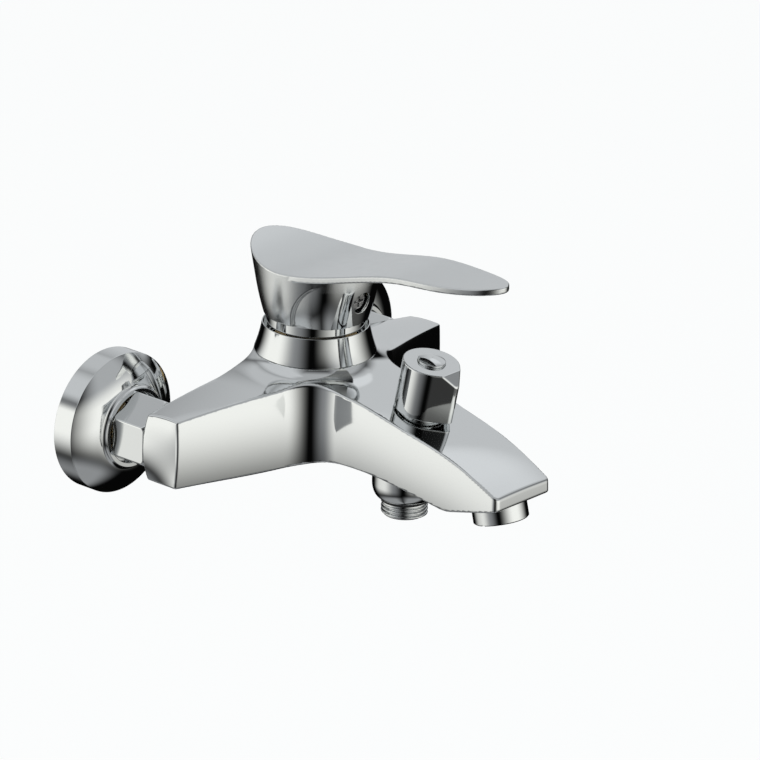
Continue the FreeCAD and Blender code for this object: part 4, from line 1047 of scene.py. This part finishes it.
def build_knob(s):
    half, low, top, slope_inset = 2.5, 1.7, 25.0, 0.8
    cap_r, cap_floor, head_r, head_floor = 6.3, 22.8, 3.45, 19.8
    bore_r, hollow_r, hollow_top = 3.05, 11.0, 5.6
    tip = s.pointer - half
    flank = math.asin((s.knob - half) / tip)
    round_side = [(s.knob * math.cos(a), s.knob * math.sin(a))
                  for a in np.linspace(-flank, math.pi + flank, 200)]
    nose = [(half * math.cos(a), -tip + half * math.sin(a))
            for a in np.linspace(math.pi + flank, 2 * math.pi - flank, 30)]
    plan = Plan(np.array(round_side + nose), 0.3)

    def field(x, y, z):
        slope = (z - top - y - s.knob + slope_inset) / math.sqrt(2)
        knob = rounded_max(plan(x, y), rounded_max(rounded_max(z - top, slope, 0.3), low - z, 0.3), 0.5)
        radius = np.hypot(x, y)
        cuts = (np.maximum(radius - cap_r, cap_floor - z), np.maximum(radius - head_r, head_floor - z),
                radius - bore_r, np.maximum(radius - hollow_r, z - hollow_top))
        for cut in cuts:
            knob = rounded_max(knob, -cut, 0.15)
        return knob

    skin = skin_of(field, (-13, -17.5, 1.5), (13, 13, 25.1), 0.35)
    skin = placed(skin, standing(*DIVERTER_AT, DIVERTER_LEAN))
    add_piece("knob_casting", skin, "diverter", "chrome_plate", "diverter_knob")


def build_cap(s):
    steps = [(0, 22.8), (s.cap, 22.8), (s.cap, 26.0), ((s.cap * 0.52, 27.02), (0, 27.4))]
    skin = turned_skin(steps, standing(*DIVERTER_AT, DIVERTER_LEAN), 0.3, 96)
    add_piece("cap_dome", skin, "diverter", "chrome_plate", "knob_cap")


# Operators

class MIXER_OT_finishes(bpy.types.Operator):
    """Give every CAD node its procedural finish"""
    bl_idname = "mixer.finishes"
    bl_label = "Finishes"

    def execute(self, context):
        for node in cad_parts.values():
            for slot in node.material_slots:
                slot.material = finish(slot.material.name.split(".")[0])
        return {"FINISHED"}


class MIXER_OT_body(bpy.types.Operator):
    """Build the cast body"""
    bl_idname = "mixer.body"
    bl_label = "Cast body"

    def execute(self, context):
        build_body(millimetres(context.scene.mixer_body))
        return {"FINISHED"}


class MIXER_OT_handle(bpy.types.Operator):
    """Build the lever handle"""
    bl_idname = "mixer.handle"
    bl_label = "Lever handle"

    def execute(self, context):
        build_handle(millimetres(context.scene.mixer_handle))
        return {"FINISHED"}


class MIXER_OT_shroud(bpy.types.Operator):
    """Build the cartridge's shroud"""
    bl_idname = "mixer.shroud"
    bl_label = "Shroud"

    def execute(self, context):
        build_shroud()
        return {"FINISHED"}


class MIXER_OT_escutcheons(bpy.types.Operator):
    """Build the wall escutcheons"""
    bl_idname = "mixer.escutcheons"
    bl_label = "Escutcheons"

    def execute(self, context):
        build_escutcheons(millimetres(context.scene.mixer_fittings))
        return {"FINISHED"}


class MIXER_OT_unions(bpy.types.Operator):
    """Build the S-shaped unions with their wall threads"""
    bl_idname = "mixer.unions"
    bl_label = "Unions"

    def execute(self, context):
        build_unions()
        return {"FINISHED"}


class MIXER_OT_nuts(bpy.types.Operator):
    """Build the union nuts"""
    bl_idname = "mixer.nuts"
    bl_label = "Union nuts"

    def execute(self, context):
        build_nuts(millimetres(context.scene.mixer_fittings))
        return {"FINISHED"}


class MIXER_OT_knob(bpy.types.Operator):
    """Build the diverter's knob and its cap"""
    bl_idname = "mixer.knob"
    bl_label = "Diverter knob"

    def execute(self, context):
        sizes = millimetres(context.scene.mixer_fittings)
        build_knob(sizes)
        build_cap(sizes)
        return {"FINISHED"}


class MIXER_OT_outlet(bpy.types.Operator):
    """Build the threaded shower outlet"""
    bl_idname = "mixer.outlet"
    bl_label = "Shower outlet"

    def execute(self, context):
        build_outlet()
        return {"FINISHED"}


class MIXER_OT_screw(bpy.types.Operator):
    """Build the handle's grub screw"""
    bl_idname = "mixer.screw"
    bl_label = "Grub screw"

    def execute(self, context):
        build_screw()
        return {"FINISHED"}


# Studio, with the camera's right and up as fitted to the photo

CAMERA_RIGHT = Vector((0.6603, -0.7505, 0.0259))
CAMERA_UP = Vector((0.2532, 0.2549, 0.9331))


# Light panels of the studio in degrees: (turn from the camera, half width, softness),
# (heights where its light begins, is full, starts to fade and ends), then brightness
WARM_PANELS = (
    ((-88, 30, 20), (-45, -11, 12, 22), 0.98),
    ((64, 38, 30), (-45, -12, 2, 24), 0.98),
)
COOL_PANELS = (
    ((-60, 34, 18), (-50, -14, 20, 34), 0.26),
    ((-126, 30, 16), (-8, 4, 20, 32), 0.42),
    ((-80, 52, 26), (18, 34, 70, 90), 0.60),
    ((70, 34, 20), (2, 12, 50, 66), 0.44),
    ((160, 36, 22), (4, 16, 45, 75), 0.58),
    ((181, 14, 8), (-22, -4, 14, 30), 0.56),
    ((175, 64, 26), (20, 40, 75, 95), 0.54),
    ((155, 28, 20), (32, 44, 56, 75), 0.74),
    ((0, 181, 1), (36, 66, 95, 99), 0.42),
    ((-85, 62, 22), (-95, -92, -56, -38), 0.30),
    ((45, 42, 20), (-95, -92, -54, -34), 0.30),
)


def brightest(tree, turn, rise, panels):
    """Brightness of the panel seen in a direction."""
    tone = 0.001
    for (about, half, soft), (begin, full, fade, end), light in panels:
        away = abs((turn - about + 540).math("MODULO", 360) - 180)
        across = 1 - tree.step(away, half - soft, half + soft)
        upright = tree.step(rise, begin, full) * (1 - tree.step(rise, fade, end))
        tone = tree.greater(light * across * upright, tone)
    return tone


def build_world(backdrop):
    world = bpy.data.worlds.new("studio")
    bpy.context.scene.world = world
    tree = Tree(world)
    way = tree.node("ShaderNodeTexCoord").outputs["Generated"]
    split = tree.node("ShaderNodeSeparateXYZ", Vector=way)
    x, y, z = (Value(tree, split.outputs[k]) for k in range(3))
    toward, degrees = CAMERA_RIGHT.cross(CAMERA_UP), 180 / math.pi
    ahead = x * toward.x + y * toward.y
    side = x * -toward.y + y * toward.x
    turn = side.math("ARCTAN2", ahead) * degrees
    rise = z.math("ARCSINE") * degrees
    cool = tree.mix(brightest(tree, turn, rise, COOL_PANELS), (0, 0, 0, 1), (0.95, 0.975, 1.0, 1))
    both = tree.mix(brightest(tree, turn, rise, WARM_PANELS), cool, (1.0, 1.0, 0.96, 1))
    lit = tree.node("ShaderNodeBackground", Color=both, Strength=1.1)
    plain = tree.node("ShaderNodeBackground", Color=(*backdrop, 1), Strength=1.0)
    path = tree.node("ShaderNodeLightPath")
    shown = tree.node("ShaderNodeMixShader", _0=path.outputs["Is Camera Ray"], _1=lit.outputs[0],
                      _2=plain.outputs[0])
    tree.node("ShaderNodeOutputWorld", Surface=shown.outputs[0])


def floor_paint(paint, backdrop):
    """Pale matt paint, shown to the camera as nearly the backdrop with the mixer's shadow kept."""
    material = bpy.data.materials.new("floor_paint")
    tree = Tree(material)
    matt = tree.node("ShaderNodeBsdfPrincipled", Base_Color=(*paint, 1), Roughness=0.9)
    bright = tree.node("ShaderNodeEmission", Color=(*backdrop, 1), Strength=1.0)
    path = tree.node("ShaderNodeLightPath")
    backdrop_share = 0.93
    seen = Value(tree, path.outputs["Is Camera Ray"]) * backdrop_share
    both = tree.node("ShaderNodeMixShader", _0=seen, _1=matt.outputs[0], _2=bright.outputs[0])
    tree.node("ShaderNodeOutputMaterial", Surface=both.outputs[0])
    return material


def build_floor(group):
    """Floor under the mixer, left out of what the chrome mirrors."""
    half, height = 6.0, -group.floor_drop
    corners = [(x * half, y * half, height) for x, y in ((-1, -1), (1, -1), (1, 1), (-1, 1))]
    mesh = bpy.data.meshes.new("floor")
    mesh.from_pydata(corners, [], [(0, 1, 2, 3)])
    mesh.materials.append(floor_paint(group.paint, group.backdrop))
    floor = bpy.data.objects.new("floor", mesh)
    bpy.context.scene.collection.objects.link(floor)
    floor.visible_glossy = False


def build_camera(group):
    right, up = CAMERA_RIGHT.normalized(), CAMERA_UP.normalized()
    back = CAMERA_RIGHT.cross(CAMERA_UP).normalized()
    data = bpy.data.cameras.new("camera")
    data.lens = group.lens
    data.sensor_width = 36
    data.clip_end = 30
    camera = bpy.data.objects.new("camera", data)
    place = Matrix.Translation(Vector(group.aim) + back * group.camera_distance)
    camera.matrix_world = place @ Matrix((right, up, back)).transposed().to_4x4()
    bpy.context.scene.collection.objects.link(camera)
    bpy.context.scene.camera = camera


def build_lamp(group):
    """Broad lamp overhead that casts the mixer's soft shadow."""
    data = bpy.data.lights.new("softbox", "AREA")
    data.size = group.lamp_size
    data.energy = group.lamp_power
    lamp = bpy.data.objects.new("softbox", data)
    lamp.matrix_world = Matrix.Translation(group.lamp_place)
    lamp.visible_glossy = False
    bpy.context.scene.collection.objects.link(lamp)


class MIXER_OT_studio(bpy.types.Operator):
    """Set up the camera, floor and surroundings"""
    bl_idname = "mixer.studio"
    bl_label = "Studio"

    def execute(self, context):
        group = context.scene.mixer_studio
        context.scene.view_settings.view_transform = "Standard"
        build_world(group.backdrop)
        build_floor(group)
        build_camera(group)
        build_lamp(group)
        return {"FINISHED"}


class MIXER_PT_panel(bpy.types.Panel):
    """Steps of building the mixer's looks"""
    bl_label = "Bath Mixer"
    bl_idname = "MIXER_PT_panel"
    bl_space_type = "VIEW_3D"
    bl_region_type = "UI"
    bl_category = "Bath Mixer"

    def draw(self, context):
        for step in OPERATORS:
            self.layout.operator(step.bl_idname)


GROUPS = {"mixer_colours": Colours, "mixer_body": CastBody, "mixer_handle": LeverHandle,
          "mixer_fittings": Fittings, "mixer_studio": Studio}
OPERATORS = (MIXER_OT_finishes, MIXER_OT_body, MIXER_OT_handle, MIXER_OT_shroud, MIXER_OT_escutcheons,
             MIXER_OT_unions, MIXER_OT_nuts, MIXER_OT_knob, MIXER_OT_outlet, MIXER_OT_screw, MIXER_OT_studio)


def register():
    for group in GROUPS.values():
        bpy.utils.register_class(group)
    for name, group in GROUPS.items():
        setattr(bpy.types.Scene, name, PointerProperty(type=group))
    for step in OPERATORS + (MIXER_PT_panel,):
        bpy.utils.register_class(step)


def unregister():
    for step in (MIXER_PT_panel,) + OPERATORS[::-1]:
        bpy.utils.unregister_class(step)
    for name in GROUPS:
        delattr(bpy.types.Scene, name)
    for group in GROUPS.values():
        bpy.utils.unregister_class(group)


def main():
    register()
    for step in OPERATORS:
        group, name = step.bl_idname.split(".")
        getattr(getattr(bpy.ops, group), name)()


if __name__ == "__main__":
    main()
